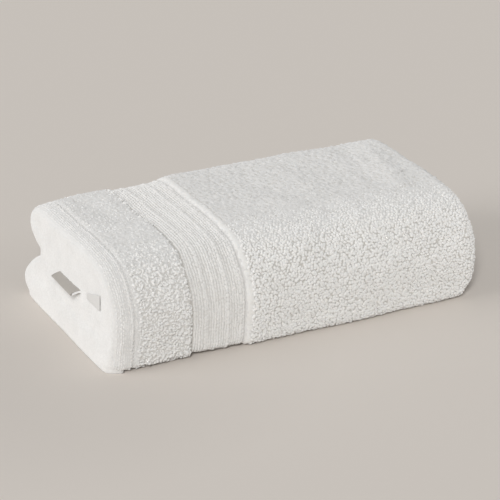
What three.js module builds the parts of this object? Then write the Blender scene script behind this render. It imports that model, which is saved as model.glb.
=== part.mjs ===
// Folded bath towel with a woven hanging loop and a sewn-in care label.
// Units are millimetres, +Z is up, and the towel lies on the plane z = 0.
// +X runs along the fold, from the hemmed end to the plush end, and -Y is the folded front.
//
// The towel is one terry cloth. It is folded in half and in half again across its length, which
// stacks four layers. Both long sides are then turned in to the middle, and the pack is closed
// like a book, so sixteen layers lie on each other with the book fold at the front.
// A vertex is found in two steps: the zigzag of the four layers gives its place along the fold
// and its depth in the stack, and the book section turns that depth into a place in Y and Z.

import * as THREE from 'three';

// Cloth sizes. The pack is a quarter of the cloth's length, and its turns add a little.
const CLOTH_LENGTH = 1400;
const TURN_ALLOWANCE = 3;
const PACK_LENGTH = CLOTH_LENGTH / 4 + TURN_ALLOWANCE;
const LAYERS = 4;
const PITCH = 5.6;
const BODY_THICKNESS = 4.9;

// The plush turn at the hemmed end swells to a roll, which pushes the inner hem back
const PLUSH_ROLL = { reach: 0.5, radius: 5.2, neck: 27 };
const INNER_HEM_SETBACK = 30;

// Bands woven across the cloth, from the hem inwards. The sink is how far the flat weave lies
// below the pile around it.
const BANDS = [
  { name: 'hem', end: 20, thickness: 3.8, sink: 0.3 },
  { name: 'plain terry', end: 71, thickness: 4.9, sink: 0 },
  { name: 'border weave', end: 121, thickness: 2.9, sink: 0.6 },
];
const BAND_STEP = 1.6;

// Book section. Each row gives the y and z of the outside of the stack of four layers and of its
// inside, how far the hemmed end and the plush end lie from their mean places there, and how many
// steps the mesh takes to the next row.
const BOOK_SECTION = [
  { place: 'upper flap edge', outer: [35, 52.6], inner: [12, 72], ends: [1, 0], steps: 1 },
  { place: 'upper flap', outer: [80, 52.1], inner: [76, 73.6], ends: [0.5, -1], steps: 1 },
  { place: 'notch, upper side', outer: [128, 52.3], inner: [124, 73.2], ends: [0, -2], steps: 2 },
  { place: 'upper roll, lower side', outer: [151, 57.5], inner: [138, 72.8], ends: [0, -3], steps: 2 },
  { place: 'upper roll, back', outer: [164, 71], inner: [141, 73.6], ends: [0, -4], steps: 2 },
  { place: 'upper roll, upper side', outer: [160.5, 85.5], inner: [140, 74.6], ends: [0, -3], steps: 2 },
  { place: 'top, back', outer: [146, 93.5], inner: [132, 74.6], ends: [0, -3], steps: 2 },
  { place: 'top, middle', outer: [90, 96], inner: [88, 74.6], ends: [0, -2], steps: 2 },
  { place: 'top, front', outer: [34, 96.5], inner: [34, 74.6], ends: [0, -2], steps: 2 },
  { place: 'book fold, top', outer: [3, 91.5], inner: [7, 73.8], ends: [0.5, -3], steps: 2 },
  { place: 'book fold, shoulder', outer: [-15, 77], inner: [-1.5, 64], ends: [1, -2], steps: 2 },
  { place: 'book fold, upper face', outer: [-24.5, 58], inner: [-4, 54], ends: [1, -0.5], steps: 2 },
  { place: 'book fold, belly', outer: [-26.5, 40], inner: [-4.5, 40], ends: [0, 0], steps: 2 },
  { place: 'book fold, lower face', outer: [-24, 21], inner: [-1.5, 30], ends: [-0.5, 0.5], steps: 2 },
  { place: 'book fold, foot', outer: [-21.5, 4.5], inner: [4, 25], ends: [-1, -5], steps: 2 },
  { place: 'bottom, front', outer: [-14, -0.4], inner: [12, 24.4], ends: [-1.8, -9], steps: 1 },
  { place: 'bottom, middle', outer: [60, -0.4], inner: [64, 24.6], ends: [-2.5, -6], steps: 1 },
  { place: 'bottom, back', outer: [152, -0.4], inner: [136, 24.6], ends: [-2, -6], steps: 2 },
  { place: 'lower roll, foot', outer: [171, 4], inner: [146, 24.6], ends: [-1.5, -5], steps: 2 },
  { place: 'lower roll, back', outer: [177, 15], inner: [148, 25.3], ends: [-1, -4], steps: 2 },
  { place: 'lower roll, upper side', outer: [168, 28.5], inner: [144, 26], ends: [-1, -3], steps: 2 },
  { place: 'notch, lower side', outer: [138, 48], inner: [126, 26], ends: [-0.5, -2], steps: 2 },
  { place: 'lower flap', outer: [76, 51.4], inner: [70, 25.6], ends: [-0.5, -1], steps: 1 },
  { place: 'lower flap edge', outer: [9, 51.3], inner: [3, 27.5], ends: [0, 0], steps: 0 },
];

// Both labels are ribbons folded in two and sewn in at the hem, with the fold outwards. The root
// lies inside the crease and the reach outside the hemmed end. The bend is how far the folded
// edge hangs below the root, or stands above it where it is negative.
const LOOP_LABEL = { width: 46, middleY: 69, root: 8, reach: 8.7, ply: 0.45, slit: 0.4, bend: 2.4 };
const CARE_LABEL = { width: 21, middleY: 16.5, root: 9, reach: 4, ply: 0.35, slit: 0.3, bend: -0.8 };
const SEAM_GAP = 0.3;

// Mesh steps of the zigzag at its turns
const TURN_STEPS = { outer: 6, plush: 6, inner: 4 };
const LABEL_FOLD_STEPS = 6;

// How the section changes along the fold. Front and back move the book fold and the rolls in Y,
// and height stretches the section in Z. Every layer has a station at each of these places.
const ALONG_FOLD = [
  { x: 0, front: 2, back: 1, height: 0.99 },
  { x: 45, front: 0.5, back: 4, height: 1.005 },
  { x: 118, front: 0, back: 2, height: 1.015 },
  { x: 137, front: -0.5, back: 8, height: 1.015 },
  { x: 240, front: 0, back: 6, height: 1.01 },
  { x: 325, front: 1.5, back: 6, height: 1.005 },
  { x: 353, front: 2, back: 4, height: 1 },
];
const RUN_END = 330;

// Where along Y the front and back shifts act, and how far in from each end the ends' shifts fade
const FRONT_ZONE = { front: -15, back: 45 };
const BACK_ZONE = { front: 90, back: 150 };
const HEM_END_FADE = 80;
const PLUSH_END_FADE = 250;

const clothMaterial = new THREE.MeshStandardMaterial({ color: 0xe9e6e1, roughness: 0.95, metalness: 0 });
const loopMaterial = new THREE.MeshStandardMaterial({ color: 0x8f8c87, roughness: 0.5, metalness: 0 });
const careMaterial = new THREE.MeshStandardMaterial({ color: 0xf1efec, roughness: 0.45, metalness: 0 });

// Middle line of the folded cloth in the plane of x and depth, with half the cloth's thickness
class MiddleLine {
  constructor() {
    this.points = [];
  }

  add(x, depth, half) {
    this.points.push({ x, depth, half });
  }

  // Half turn about a centre: side is 1 for a turn at the plush end and -1 at the hemmed end
  turn(centre, radius, side, inwards, steps, half) {
    for (let i = 0; i <= steps; i += 1) {
      const angle = Math.PI * (i / steps - 0.5) * (inwards ? 1 : -1);
      this.add(centre.x + side * radius * Math.cos(angle), centre.depth + radius * Math.sin(angle), half);
    }
  }

  // Closed outline, from one side of the cloth back along the other
  outline() {
    const sides = { near: [], far: [] };
    this.points.forEach((point, i) => {
      const before = this.points[Math.max(i - 1, 0)];
      const after = this.points[Math.min(i + 1, this.points.length - 1)];
      const run = new THREE.Vector2(after.x - before.x, after.depth - before.depth).normalize();
      sides.near.push({ x: point.x + run.y * point.half, depth: point.depth - run.x * point.half });
      sides.far.push({ x: point.x - run.y * point.half, depth: point.depth + run.x * point.half });
    });
    return sides;
  }
}

const layerDepth = (layer) => (layer - 0.5) * PITCH;

// Stations of a run between the hemmed end and the plush end, from left to right. A run with
// bands starts at its hem, and the flat weaves sink by a share of their full depth.
function runStations(layer, from, banded, sinkShare) {
  const depth = layerDepth(layer);
  const xs = ALONG_FOLD.map((row) => row.x).filter((x) => x > from && x < RUN_END);
  const list = xs.map((x) => ({ x, depth, half: BODY_THICKNESS / 2 }));
  if (!banded) return list;
  let start = from;
  for (const band of BANDS) {
    const end = from + band.end;
    const woven = { depth: depth + sinkShare * band.sink, half: band.thickness / 2 };
    list.filter((point) => point.x > start && point.x < end).forEach((point) => Object.assign(point, woven));
    list.push({ x: start, ...woven }, { x: end, ...woven });
    start = end + BAND_STEP;
  }
  list.push({ x: start, depth, half: BODY_THICKNESS / 2 });
  return list.sort((a, b) => a.x - b.x);
}

// Stack of four layers as one zigzag: the outer run from the hem, the outer turn at the plush
// end, the inmost run, the plush roll at the hemmed end, the third run, the inner turn and the
// second run, which ends in the inner hem.
function zigzag() {
  const line = new MiddleLine();
  const half = BODY_THICKNESS / 2;
  const outerRadius = 1.5 * PITCH;
  const innerRadius = 0.5 * PITCH;
  const turnCentre = { x: PACK_LENGTH - outerRadius - half, depth: 2 * PITCH };
  const { reach, radius, neck } = PLUSH_ROLL;
  const rollCentre = { x: radius + half - reach, depth: layerDepth(4) - radius };
  const rollFloor = rollCentre.depth - radius;
  const run = (stations) => stations.forEach((point) => line.add(point.x, point.depth, point.half));

  run(runStations(1, 0, true, 1));
  line.turn(turnCentre, outerRadius, 1, true, TURN_STEPS.outer, half);
  run(runStations(4, neck, false).reverse());
  line.turn(rollCentre, radius, -1, false, TURN_STEPS.plush, half);
  line.add((rollCentre.x + neck) / 2, (rollFloor + layerDepth(3)) / 2, half);
  line.add(neck, layerDepth(3), half);
  run(runStations(3, neck, false));
  line.turn(turnCentre, innerRadius, 1, false, TURN_STEPS.inner, half);
  run(runStations(2, INNER_HEM_SETBACK, true, 0.5).reverse());
  return line;
}

// Smooth curve through one column of the book section
function sectionCurve(column) {
  const points = BOOK_SECTION.map((row) => new THREE.Vector3(0, ...row[column]));
  return new THREE.CatmullRomCurve3(points, false, 'centripetal');
}

const outerCurve = sectionCurve('outer');
const innerCurve = sectionCurve('inner');

// Value of a column of the table along the fold
function along(x, column) {
  const after = ALONG_FOLD.findIndex((row) => row.x > x);
  if (after === 0) return ALONG_FOLD[0][column];
  if (after < 0) return ALONG_FOLD[ALONG_FOLD.length - 1][column];
  const [a, b] = [ALONG_FOLD[after - 1], ALONG_FOLD[after]];
  return THREE.MathUtils.mapLinear(x, a.x, b.x, a[column], b[column]);
}

const SECTION_SPANS = BOOK_SECTION.length - 1;

// How far one end of the pack lies from its mean place at t, eased between the rows
function endShift(t, end) {
  const i = Math.min(Math.floor(t * SECTION_SPANS), SECTION_SPANS - 1);
  const share = THREE.MathUtils.smoothstep(t * SECTION_SPANS - i, 0, 1);
  return THREE.MathUtils.lerp(BOOK_SECTION[i].ends[end], BOOK_SECTION[i + 1].ends[end], share);
}

// Place of a point of the stack, where t runs round the book section. The cloth lies flat where
// it meets the surface below.
function place(x, depth, t) {
  const p = outerCurve.getPoint(t).lerp(innerCurve.getPoint(t), depth / (LAYERS * PITCH));
  const front = THREE.MathUtils.smoothstep(-p.y, -FRONT_ZONE.back, -FRONT_ZONE.front);
  const back = THREE.MathUtils.smoothstep(p.y, BACK_ZONE.front, BACK_ZONE.back);
  p.y += front * along(x, 'front') + back * along(x, 'back');
  p.z = Math.max(p.z * along(x, 'height'), 0);
  const hemShare = 1 - THREE.MathUtils.smoothstep(x, 0, HEM_END_FADE);
  const plushShare = THREE.MathUtils.smoothstep(x, PLUSH_END_FADE, PACK_LENGTH);
  p.x = x + hemShare * endShift(t, 0) + plushShare * endShift(t, 1);
  return p;
}

// Stations round the book section, as curve parameters
function sectionStations() {
  const list = [];
  BOOK_SECTION.forEach((row, i) => {
    for (let k = 0; k < row.steps; k += 1) list.push((i + k / row.steps) / SECTION_SPANS);
  });
  return [...list, 1];
}

// The cloth's outline in x and depth, carried round the book section and closed at both selvages
function towelGeometry() {
  const { near, far } = zigzag().outline();
  const loop = [...near, ...[...far].reverse()];
  const size = loop.length;
  const rings = sectionStations();
  const positions = [];
  const faces = [];
  for (const t of rings) {
    for (const point of loop) positions.push(...place(point.x, point.depth, t).toArray());
  }
  for (let r = 0; r + 1 < rings.length; r += 1) {
    for (let i = 0; i < size; i += 1) {
      const j = (i + 1) % size;
      const [a, b] = [r * size + i, r * size + j];
      const [c, d] = [a + size, b + size];
      faces.push(a, d, b, a, c, d);
    }
  }
  const last = (rings.length - 1) * size;
  for (let i = 0; i + 1 < near.length; i += 1) {
    const [a, b] = [i, i + 1];
    const [c, d] = [size - 1 - i, size - 2 - i];
    faces.push(a, b, d, a, d, c);
    faces.push(last + a, last + d, last + b, last + a, last + c, last + d);
  }
  const geometry = new THREE.BufferGeometry();
  geometry.setAttribute('position', new THREE.Float32BufferAttribute(positions, 3));
  geometry.setIndex(faces);
  return geometry;
}

// Height at x of the cloth's surface on one side of the crease, at a row of the book section
function creaseHeight(x, row) {
  const t = BOOK_SECTION.findIndex((section) => section.place === row) / SECTION_SPANS;
  const [hem] = BANDS;
  return place(x, layerDepth(1) + hem.sink - hem.thickness / 2, t).z;
}

// Folded ribbon, drawn in x and the depth below its seat and extruded over its width
function labelGeometry({ width, root, reach, ply, slit, bend }) {
  const radius = (slit + ply) / 2;
  const middle = slit / 2 + ply;
  const foldX = radius + ply / 2 - reach;
  const hang = (x) => (x < 0 ? bend * (x / reach) ** 2 : 0);
  const line = new MiddleLine();
  const xs = [root, 0, foldX / 2];
  xs.forEach((x) => line.add(x, middle - radius + hang(x), ply / 2));
  line.turn({ x: foldX, depth: middle + hang(foldX) }, radius, -1, true, LABEL_FOLD_STEPS, ply / 2);
  xs.reverse().forEach((x) => line.add(x, middle + radius + hang(x), ply / 2));
  const { near, far } = line.outline();
  const corners = [...near, ...far.reverse()].map((point) => new THREE.Vector2(point.x, -point.depth));
  const geometry = new THREE.ExtrudeGeometry(new THREE.Shape(corners), { depth: width, bevelEnabled: false });
  return geometry.rotateX(Math.PI / 2);
}

const ribbonHeight = ({ ply, slit }) => 2 * ply + slit;

const towel = new THREE.Mesh(towelGeometry(), clothMaterial);
towel.name = 'towel';

// The grey loop is sewn to the underside of the upper flap's hem
const loopLabel = new THREE.Mesh(labelGeometry(LOOP_LABEL), loopMaterial);
loopLabel.name = 'woven_loop_label';
loopLabel.position.y = LOOP_LABEL.middleY + LOOP_LABEL.width / 2;
loopLabel.position.z = creaseHeight(0, 'upper flap') - SEAM_GAP;

// The white care label lies on the lower flap's hem, in front of the upper flap's edge
const careLabel = new THREE.Mesh(labelGeometry(CARE_LABEL), careMaterial);
careLabel.name = 'care_label';
careLabel.position.y = CARE_LABEL.middleY + CARE_LABEL.width / 2;
careLabel.position.z = creaseHeight(CARE_LABEL.root, 'lower flap edge') + SEAM_GAP + ribbonHeight(CARE_LABEL);

const pack = new THREE.Group();
pack.add(towel, loopLabel, careLabel);

// The origin is under the middle of the whole pack
const middle = new THREE.Box3().setFromObject(pack).getCenter(new THREE.Vector3());
pack.position.set(-middle.x, -middle.y, 0);

const part = new THREE.Group();
part.add(pack);

export default part;
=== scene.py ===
"""Dresses a folded bath towel: terry cloth with pile, ribbed border, stitched hem and two ribbon labels.

Sizes in the classes are millimetres in the towel's own layout: x runs along the fold from the hemmed
end, y from the book fold at the front to the rolls at the back, and z is up from the surface below.
"""

import logging
import math
from collections.abc import Callable
from dataclasses import dataclass, replace
from enum import Enum
from typing import ClassVar

import bpy
import numpy as np
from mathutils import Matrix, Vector
from mathutils.bvhtree import BVHTree


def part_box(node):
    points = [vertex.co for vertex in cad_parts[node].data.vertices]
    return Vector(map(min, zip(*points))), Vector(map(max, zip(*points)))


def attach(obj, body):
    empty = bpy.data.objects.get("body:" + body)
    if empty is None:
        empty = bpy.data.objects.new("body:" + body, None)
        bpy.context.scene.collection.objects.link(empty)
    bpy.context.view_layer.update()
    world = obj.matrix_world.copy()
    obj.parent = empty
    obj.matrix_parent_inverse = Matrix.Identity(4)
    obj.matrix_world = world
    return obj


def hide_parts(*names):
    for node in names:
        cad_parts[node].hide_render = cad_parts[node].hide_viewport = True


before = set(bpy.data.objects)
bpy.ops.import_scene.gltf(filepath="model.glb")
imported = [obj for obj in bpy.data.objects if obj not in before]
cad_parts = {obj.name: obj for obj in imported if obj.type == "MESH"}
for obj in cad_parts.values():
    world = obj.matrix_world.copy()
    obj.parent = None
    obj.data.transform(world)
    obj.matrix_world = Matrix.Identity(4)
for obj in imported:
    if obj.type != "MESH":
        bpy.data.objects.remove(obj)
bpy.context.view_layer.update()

MM = 0.001
TINY = 1e-12
# How far the loop label stands out and where its back end lies, which tie the layout to its CAD node
LOOP_REACH = 8.7
LOOP_END = 92.0

log = logging.getLogger("towel")

Vector3 = tuple[float, float, float]
Span = tuple[float, float]


class Slot(Enum):
    """Material slots of the record."""

    CLOTH = "terry_cotton"
    GREY = "grey_ribbon"
    WHITE = "white_ribbon"


def smoothstep(values: np.ndarray, low: float, high: float) -> np.ndarray:
    """Eases from 0 at low to 1 at high.

    Args:
        values: Numbers to ease.
        low: Value that gives 0.
        high: Value that gives 1.

    Returns:
        The eased numbers.
    """
    share = np.clip((values - low) / (high - low), 0.0, 1.0)
    return share * share * (3.0 - 2.0 * share)


def looked_up(rows: tuple[Span, ...], places: np.ndarray | float) -> np.ndarray:
    """Values at the places from a table of (place, value), even between its rows."""
    return np.interp(places, *np.transpose(rows))


@dataclass(frozen=True)
class SectionRow:
    """A place round the closed book: outside and inside of the stack of layers, as (y, z).

    The other two columns shift the two ends of the pack there along the fold.
    """

    place: str
    outer: Span
    inner: Span
    hem_end: float
    plush_end: float


BOOK_SECTION = (
    SectionRow("upper flap edge", (35, 52.6), (12, 72), 1, 0),
    SectionRow("upper flap", (80, 52.1), (76, 73.6), 0.5, -1),
    SectionRow("notch, upper side", (128, 52.3), (124, 73.2), 0, -2),
    SectionRow("upper roll, lower side", (151, 57.5), (138, 72.8), 0, -3),
    SectionRow("upper roll, back", (164, 71), (141, 73.6), 0, -4),
    SectionRow("upper roll, upper side", (160.5, 85.5), (140, 74.6), 0, -3),
    SectionRow("top, back", (146, 93.5), (132, 74.6), 0, -3),
    SectionRow("top, middle", (90, 96), (88, 74.6), 0, -2),
    SectionRow("top, front", (34, 96.5), (34, 74.6), 0, -2),
    SectionRow("book fold, top", (3, 91.5), (7, 73.8), 0.5, -3),
    SectionRow("book fold, shoulder", (-15, 77), (-1.5, 64), 1, -2),
    SectionRow("book fold, upper face", (-24.5, 58), (-4, 54), 1, -0.5),
    SectionRow("book fold, belly", (-26.5, 40), (-4.5, 40), 0, 0),
    SectionRow("book fold, lower face", (-24, 21), (-1.5, 30), -0.5, 0.5),
    SectionRow("book fold, foot", (-21.5, 4.5), (4, 25), -1, -5),
    SectionRow("bottom, front", (-14, -0.4), (12, 24.4), -1.8, -9),
    SectionRow("bottom, middle", (60, -0.4), (64, 24.6), -2.5, -6),
    SectionRow("bottom, back", (152, -0.4), (136, 24.6), -2, -6),
    SectionRow("lower roll, foot", (171, 4), (146, 24.6), -1.5, -5),
    SectionRow("lower roll, back", (177, 15), (148, 25.3), -1, -4),
    SectionRow("lower roll, upper side", (168, 28.5), (144, 26), -1, -3),
    SectionRow("notch, lower side", (138, 48), (126, 26), -0.5, -2),
    SectionRow("lower flap", (76, 51.4), (70, 25.6), -0.5, -1),
    SectionRow("lower flap edge", (9, 51.3), (3, 27.5), 0, 0),
)
SPANS = len(BOOK_SECTION) - 1
ROW_AT = {row.place: i / SPANS for i, row in enumerate(BOOK_SECTION)}


class RoundCurve:
    """Centripetal Catmull-Rom curve through points in the plane of y and z."""

    def __init__(self, points: list[Span]) -> None:
        """Works out one cubic for each span.

        Args:
            points: The points that the curve passes.
        """
        p = np.asarray(points, float)
        ends = np.vstack([2 * p[0] - p[1], p, 2 * p[-1] - p[-2]])
        a, b, c, d = ends[:-3], ends[1:-2], ends[2:-1], ends[3:]
        first, middle, last = (
            np.sqrt(np.linalg.norm(q - r, axis=1))[:, None] for q, r in ((b, a), (c, b), (d, c))
        )
        start = ((b - a) / first - (c - a) / (first + middle) + (c - b) / middle) * middle
        end = ((c - b) / middle - (d - b) / (middle + last) + (d - c) / last) * middle
        self.cubics = (b, start, 3 * (c - b) - 2 * start - end, 2 * (b - c) + start + end)

    def at(self, t: np.ndarray) -> np.ndarray:
        """Gives the points at t, which runs from 0 to 1.

        Args:
            t: Places on the curve.

        Returns:
            One row of y and z for each place.
        """
        spans = len(self.cubics[0])
        i = np.clip(np.floor(t * spans).astype(int), 0, spans - 1)
        w = (t * spans - i)[:, None]
        return sum(coefficient[i] * w**power for power, coefficient in enumerate(self.cubics))


@dataclass(frozen=True)
class AlongRow:
    """How the book section changes at one place along the fold."""

    x: float
    front: float
    back: float
    height: float


@dataclass(frozen=True)
class Crease:
    """A soft ridge or trough of the cloth: where it runs as (x, path), its width and its rise."""

    start: Span
    end: Span
    width: float
    rise: float


@dataclass(frozen=True)
class Wave:
    """A slow wave over the cloth: millimetres for one radian along and round, phase and height."""

    along: float
    around: float
    phase: float
    height: float


@dataclass
class FoldedForm:
    """Shape of the folded towel, which turns a place in the cloth into a place in space."""

    cloth_length: float = 1400.0
    turn_allowance: float = 3.0
    pitch: float = 5.6
    layers: int = 4
    hem_end_fade: float = 80.0
    plush_end_fade: float = 250.0
    front_zone: Span = (-15.0, 45.0)
    back_zone: Span = (90.0, 150.0)
    blur: float = 8.0
    inner_calm: float = 0.7
    curve_steps: int = 4001
    along_rows: tuple[AlongRow, ...] = (
        AlongRow(0, 2, 1, 0.99),
        AlongRow(45, 0.5, 4, 1.005),
        AlongRow(118, 0, 2, 1.015),
        AlongRow(137, -0.5, 8, 1.015),
        AlongRow(240, 0, 6, 1.01),
        AlongRow(325, 1.5, 6, 1.005),
        AlongRow(353, 2, 4, 1),
    )
    creases: tuple[Crease, ...] = (
        Crease((327, 187), (309, 275), 8, 1.4),
        Crease((301, 183), (291, 258), 9, -0.9),
        Crease((198, 229), (227, 301), 10, -1.0),
        Crease((226, 212), (247, 290), 9, 0.8),
        Crease((160, 300), (185, 345), 12, 0.7),
        Crease((38, 182), (55, 239), 7, -1.0),
        Crease((60, 190), (52, 255), 6, 0.5),
        Crease((262, 330), (300, 395), 14, -0.9),
        Crease((10, 196), (15, 236), 9, -0.7),
    )
    waves: tuple[Wave, ...] = (
        Wave(17, 31, 0.4, 0.35),
        Wave(-26, 19, 2.0, 0.3),
        Wave(11, -15, 1.1, 0.22),
    )
    band_waves: tuple[Wave, ...] = (
        Wave(90, 21, 0.6, 0.4),
        Wave(60, 8.5, 2.4, 0.15),
    )
    band_zone: tuple[float, float, float, float] = (6.0, 24.0, 135.0, 220.0)

    def __post_init__(self) -> None:
        """Makes the curves and the table of path lengths."""
        self.outer = RoundCurve([row.outer for row in BOOK_SECTION])
        self.inner = RoundCurve([row.inner for row in BOOK_SECTION])
        steps = np.linspace(0, 1, self.curve_steps)
        points = self.outer.at(steps)
        lengths = np.linalg.norm(np.diff(points, axis=0), axis=1)
        self.path = np.concatenate([[0.0], np.cumsum(lengths)])
        self.path_steps = steps

    @property
    def pack_length(self) -> float:
        """Length of the folded pack."""
        return self.cloth_length / self.layers + self.turn_allowance

    @property
    def stack_depth(self) -> float:
        """Depth of the stack of layers."""
        return self.layers * self.pitch

    def layer_depth(self, layer: int) -> float:
        """Depth of a layer's middle below the outside of the stack."""
        return (layer - 0.5) * self.pitch

    def t_of(self, path: np.ndarray) -> np.ndarray:
        """Curve parameter at a length along the outer section."""
        return np.interp(path, self.path, self.path_steps)

    def path_of(self, place: str) -> float:
        """Length along the outer section at a named row."""
        return float(np.interp(ROW_AT[place], self.path_steps, self.path))

    def along(self, x: np.ndarray, column: str) -> np.ndarray:
        """Smoothed value of a column of the table along the fold.

        Args:
            x: Places along the fold.
            column: Name of the column.

        Returns:
            The column's values there.
        """
        xs = [row.x for row in self.along_rows]
        values = [getattr(row, column) for row in self.along_rows]
        shifts = (-self.blur, 0.0, self.blur)
        return sum(np.interp(x + shift, xs, values) for shift in shifts) / len(shifts)

    def end_shift(self, t: np.ndarray, end: str) -> np.ndarray:
        """How far one end of the pack lies from its mean place at t.

        Args:
            t: Places round the section.
            end: Column of the section's table.

        Returns:
            The shifts along x.
        """
        column = np.array([getattr(row, end) for row in BOOK_SECTION], float)
        i = np.clip(np.floor(t * SPANS).astype(int), 0, SPANS - 1)
        share = smoothstep(t * SPANS - i, 0, 1)
        return column[i] * (1 - share) + column[i + 1] * share

    def relief(self, x: np.ndarray, path: np.ndarray) -> np.ndarray:
        """Rise of the outer cloth over its smooth form, from the creases.

        Args:
            x: Places along the fold.
            path: Lengths along the outer section.

        Returns:
            The rises in millimetres.
        """
        total = np.zeros_like(x)
        for crease in self.creases:
            start, end = np.array(crease.start), np.array(crease.end)
            run = end - start
            spot = np.stack([x, path], axis=1) - start
            share = np.clip(spot @ run / (run @ run), 0, 1)
            away = np.linalg.norm(spot - share[:, None] * run, axis=1)
            total += crease.rise * np.exp(-((away / crease.width) ** 2))
        return total + self.waved(self.waves, x, path)

    def waved(self, waves: tuple[Wave, ...], x: np.ndarray, path: np.ndarray) -> np.ndarray:
        """Sum of slow waves at places of the cloth."""
        return sum(wave.height * np.sin(x / wave.along + path / wave.around + wave.phase) for wave in waves)

    def waver(self, x: np.ndarray, path: np.ndarray) -> np.ndarray:
        """Shift along the fold of the woven bands, which never run quite straight.

        Args:
            x: Places along the fold.
            path: Lengths along the outer section.

        Returns:
            The shifts in millimetres.
        """
        start, full, fading, end = self.band_zone
        share = smoothstep(x, start, full) * (1 - smoothstep(x, fading, end))
        return share * self.waved(self.band_waves, x, path)

    def place(self, x: np.ndarray, depth: np.ndarray, t: np.ndarray) -> np.ndarray:
        """Places points of the stack in space.

        Args:
            x: Places along the fold.
            depth: Depths below the outside of the stack.
            t: Places round the book section, from 0 to 1.

        Returns:
            One row of x, y and z for each point, in the towel's own layout.
        """
        share = (depth / self.stack_depth)[:, None]
        outside, inside = self.outer.at(t), self.inner.at(t)
        towards = outside - inside
        towards /= np.linalg.norm(towards, axis=1)[:, None]
        path = np.interp(t, self.path_steps, self.path)
        rise = self.relief(x, path)[:, None]
        x = x + self.waver(x, path)
        flat = outside * (1 - share) + inside * share + towards * rise * (1 - self.inner_calm * share)
        y, z = flat[:, 0], flat[:, 1]
        front = 1 - smoothstep(y, *self.front_zone)
        back = smoothstep(y, *self.back_zone)
        y = y + front * self.along(x, "front") + back * self.along(x, "back")
        z = np.maximum(z * self.along(x, "height"), 0.0)
        hem_share = 1 - smoothstep(x, 0, self.hem_end_fade)
        plush_share = smoothstep(x, self.plush_end_fade, self.pack_length)
        x = x + hem_share * self.end_shift(t, "hem_end") + plush_share * self.end_shift(t, "plush_end")
        return np.stack([x, y, z], axis=1)


class Socket:
    """A shader socket that takes part in Python expressions, which add Math nodes."""

    def __init__(self, tree: "NodeTree", socket: bpy.types.NodeSocket) -> None:
        """Keeps the socket and the tree it is in."""
        self.tree = tree
        self.socket = socket

    def _math(self, operation: str, *values: "Socket | float") -> "Socket":
        """Adds one Math node for the values."""
        return self.tree.add("ShaderNodeMath", {"operation": operation}, dict(enumerate(values)))[0]

    def __add__(self, other: "Socket | float") -> "Socket":
        """Sum."""
        return self._math("ADD", self, other)

    __radd__ = __add__

    def __mul__(self, other: "Socket | float") -> "Socket":
        """Product."""
        return self._math("MULTIPLY", self, other)

    __rmul__ = __mul__

    def __sub__(self, other: "Socket | float") -> "Socket":
        """Difference."""
        return self._math("SUBTRACT", self, other)

    def __rsub__(self, other: float) -> "Socket":
        """Difference from a number."""
        return self._math("SUBTRACT", other, self)

    def larger(self, other: "Socket | float") -> "Socket":
        """The larger of two values."""
        return self._math("MAXIMUM", self, other)


class NodeTree:
    """A node tree with one method that adds any node."""

    def __init__(self, tree: bpy.types.NodeTree) -> None:
        """Keeps the tree."""
        self.tree = tree

    def add(self, kind: str, settings: dict | None = None, inputs: dict | None = None) -> list[Socket]:
        """Adds a node, sets it up and links it.

        Args:
            kind: Blender's name of the node type.
            settings: Values of the node's own properties, set before its sockets.
            inputs: Socket name or number to a value or a Socket.

        Returns:
            The node's enabled output sockets, in order.
        """
        node = self.tree.nodes.new(kind)
        for name, value in (settings or {}).items():
            setattr(node, name, value)
        for key, value in (inputs or {}).items():
            if isinstance(key, int):
                target = node.inputs[key]
            else:
                target = next(s for s in node.inputs if s.name == key and s.enabled)
            if isinstance(value, Socket):
                self.tree.links.new(value.socket, target)
            else:
                target.default_value = value
        return [Socket(self, s) for s in node.outputs if s.enabled]


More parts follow.
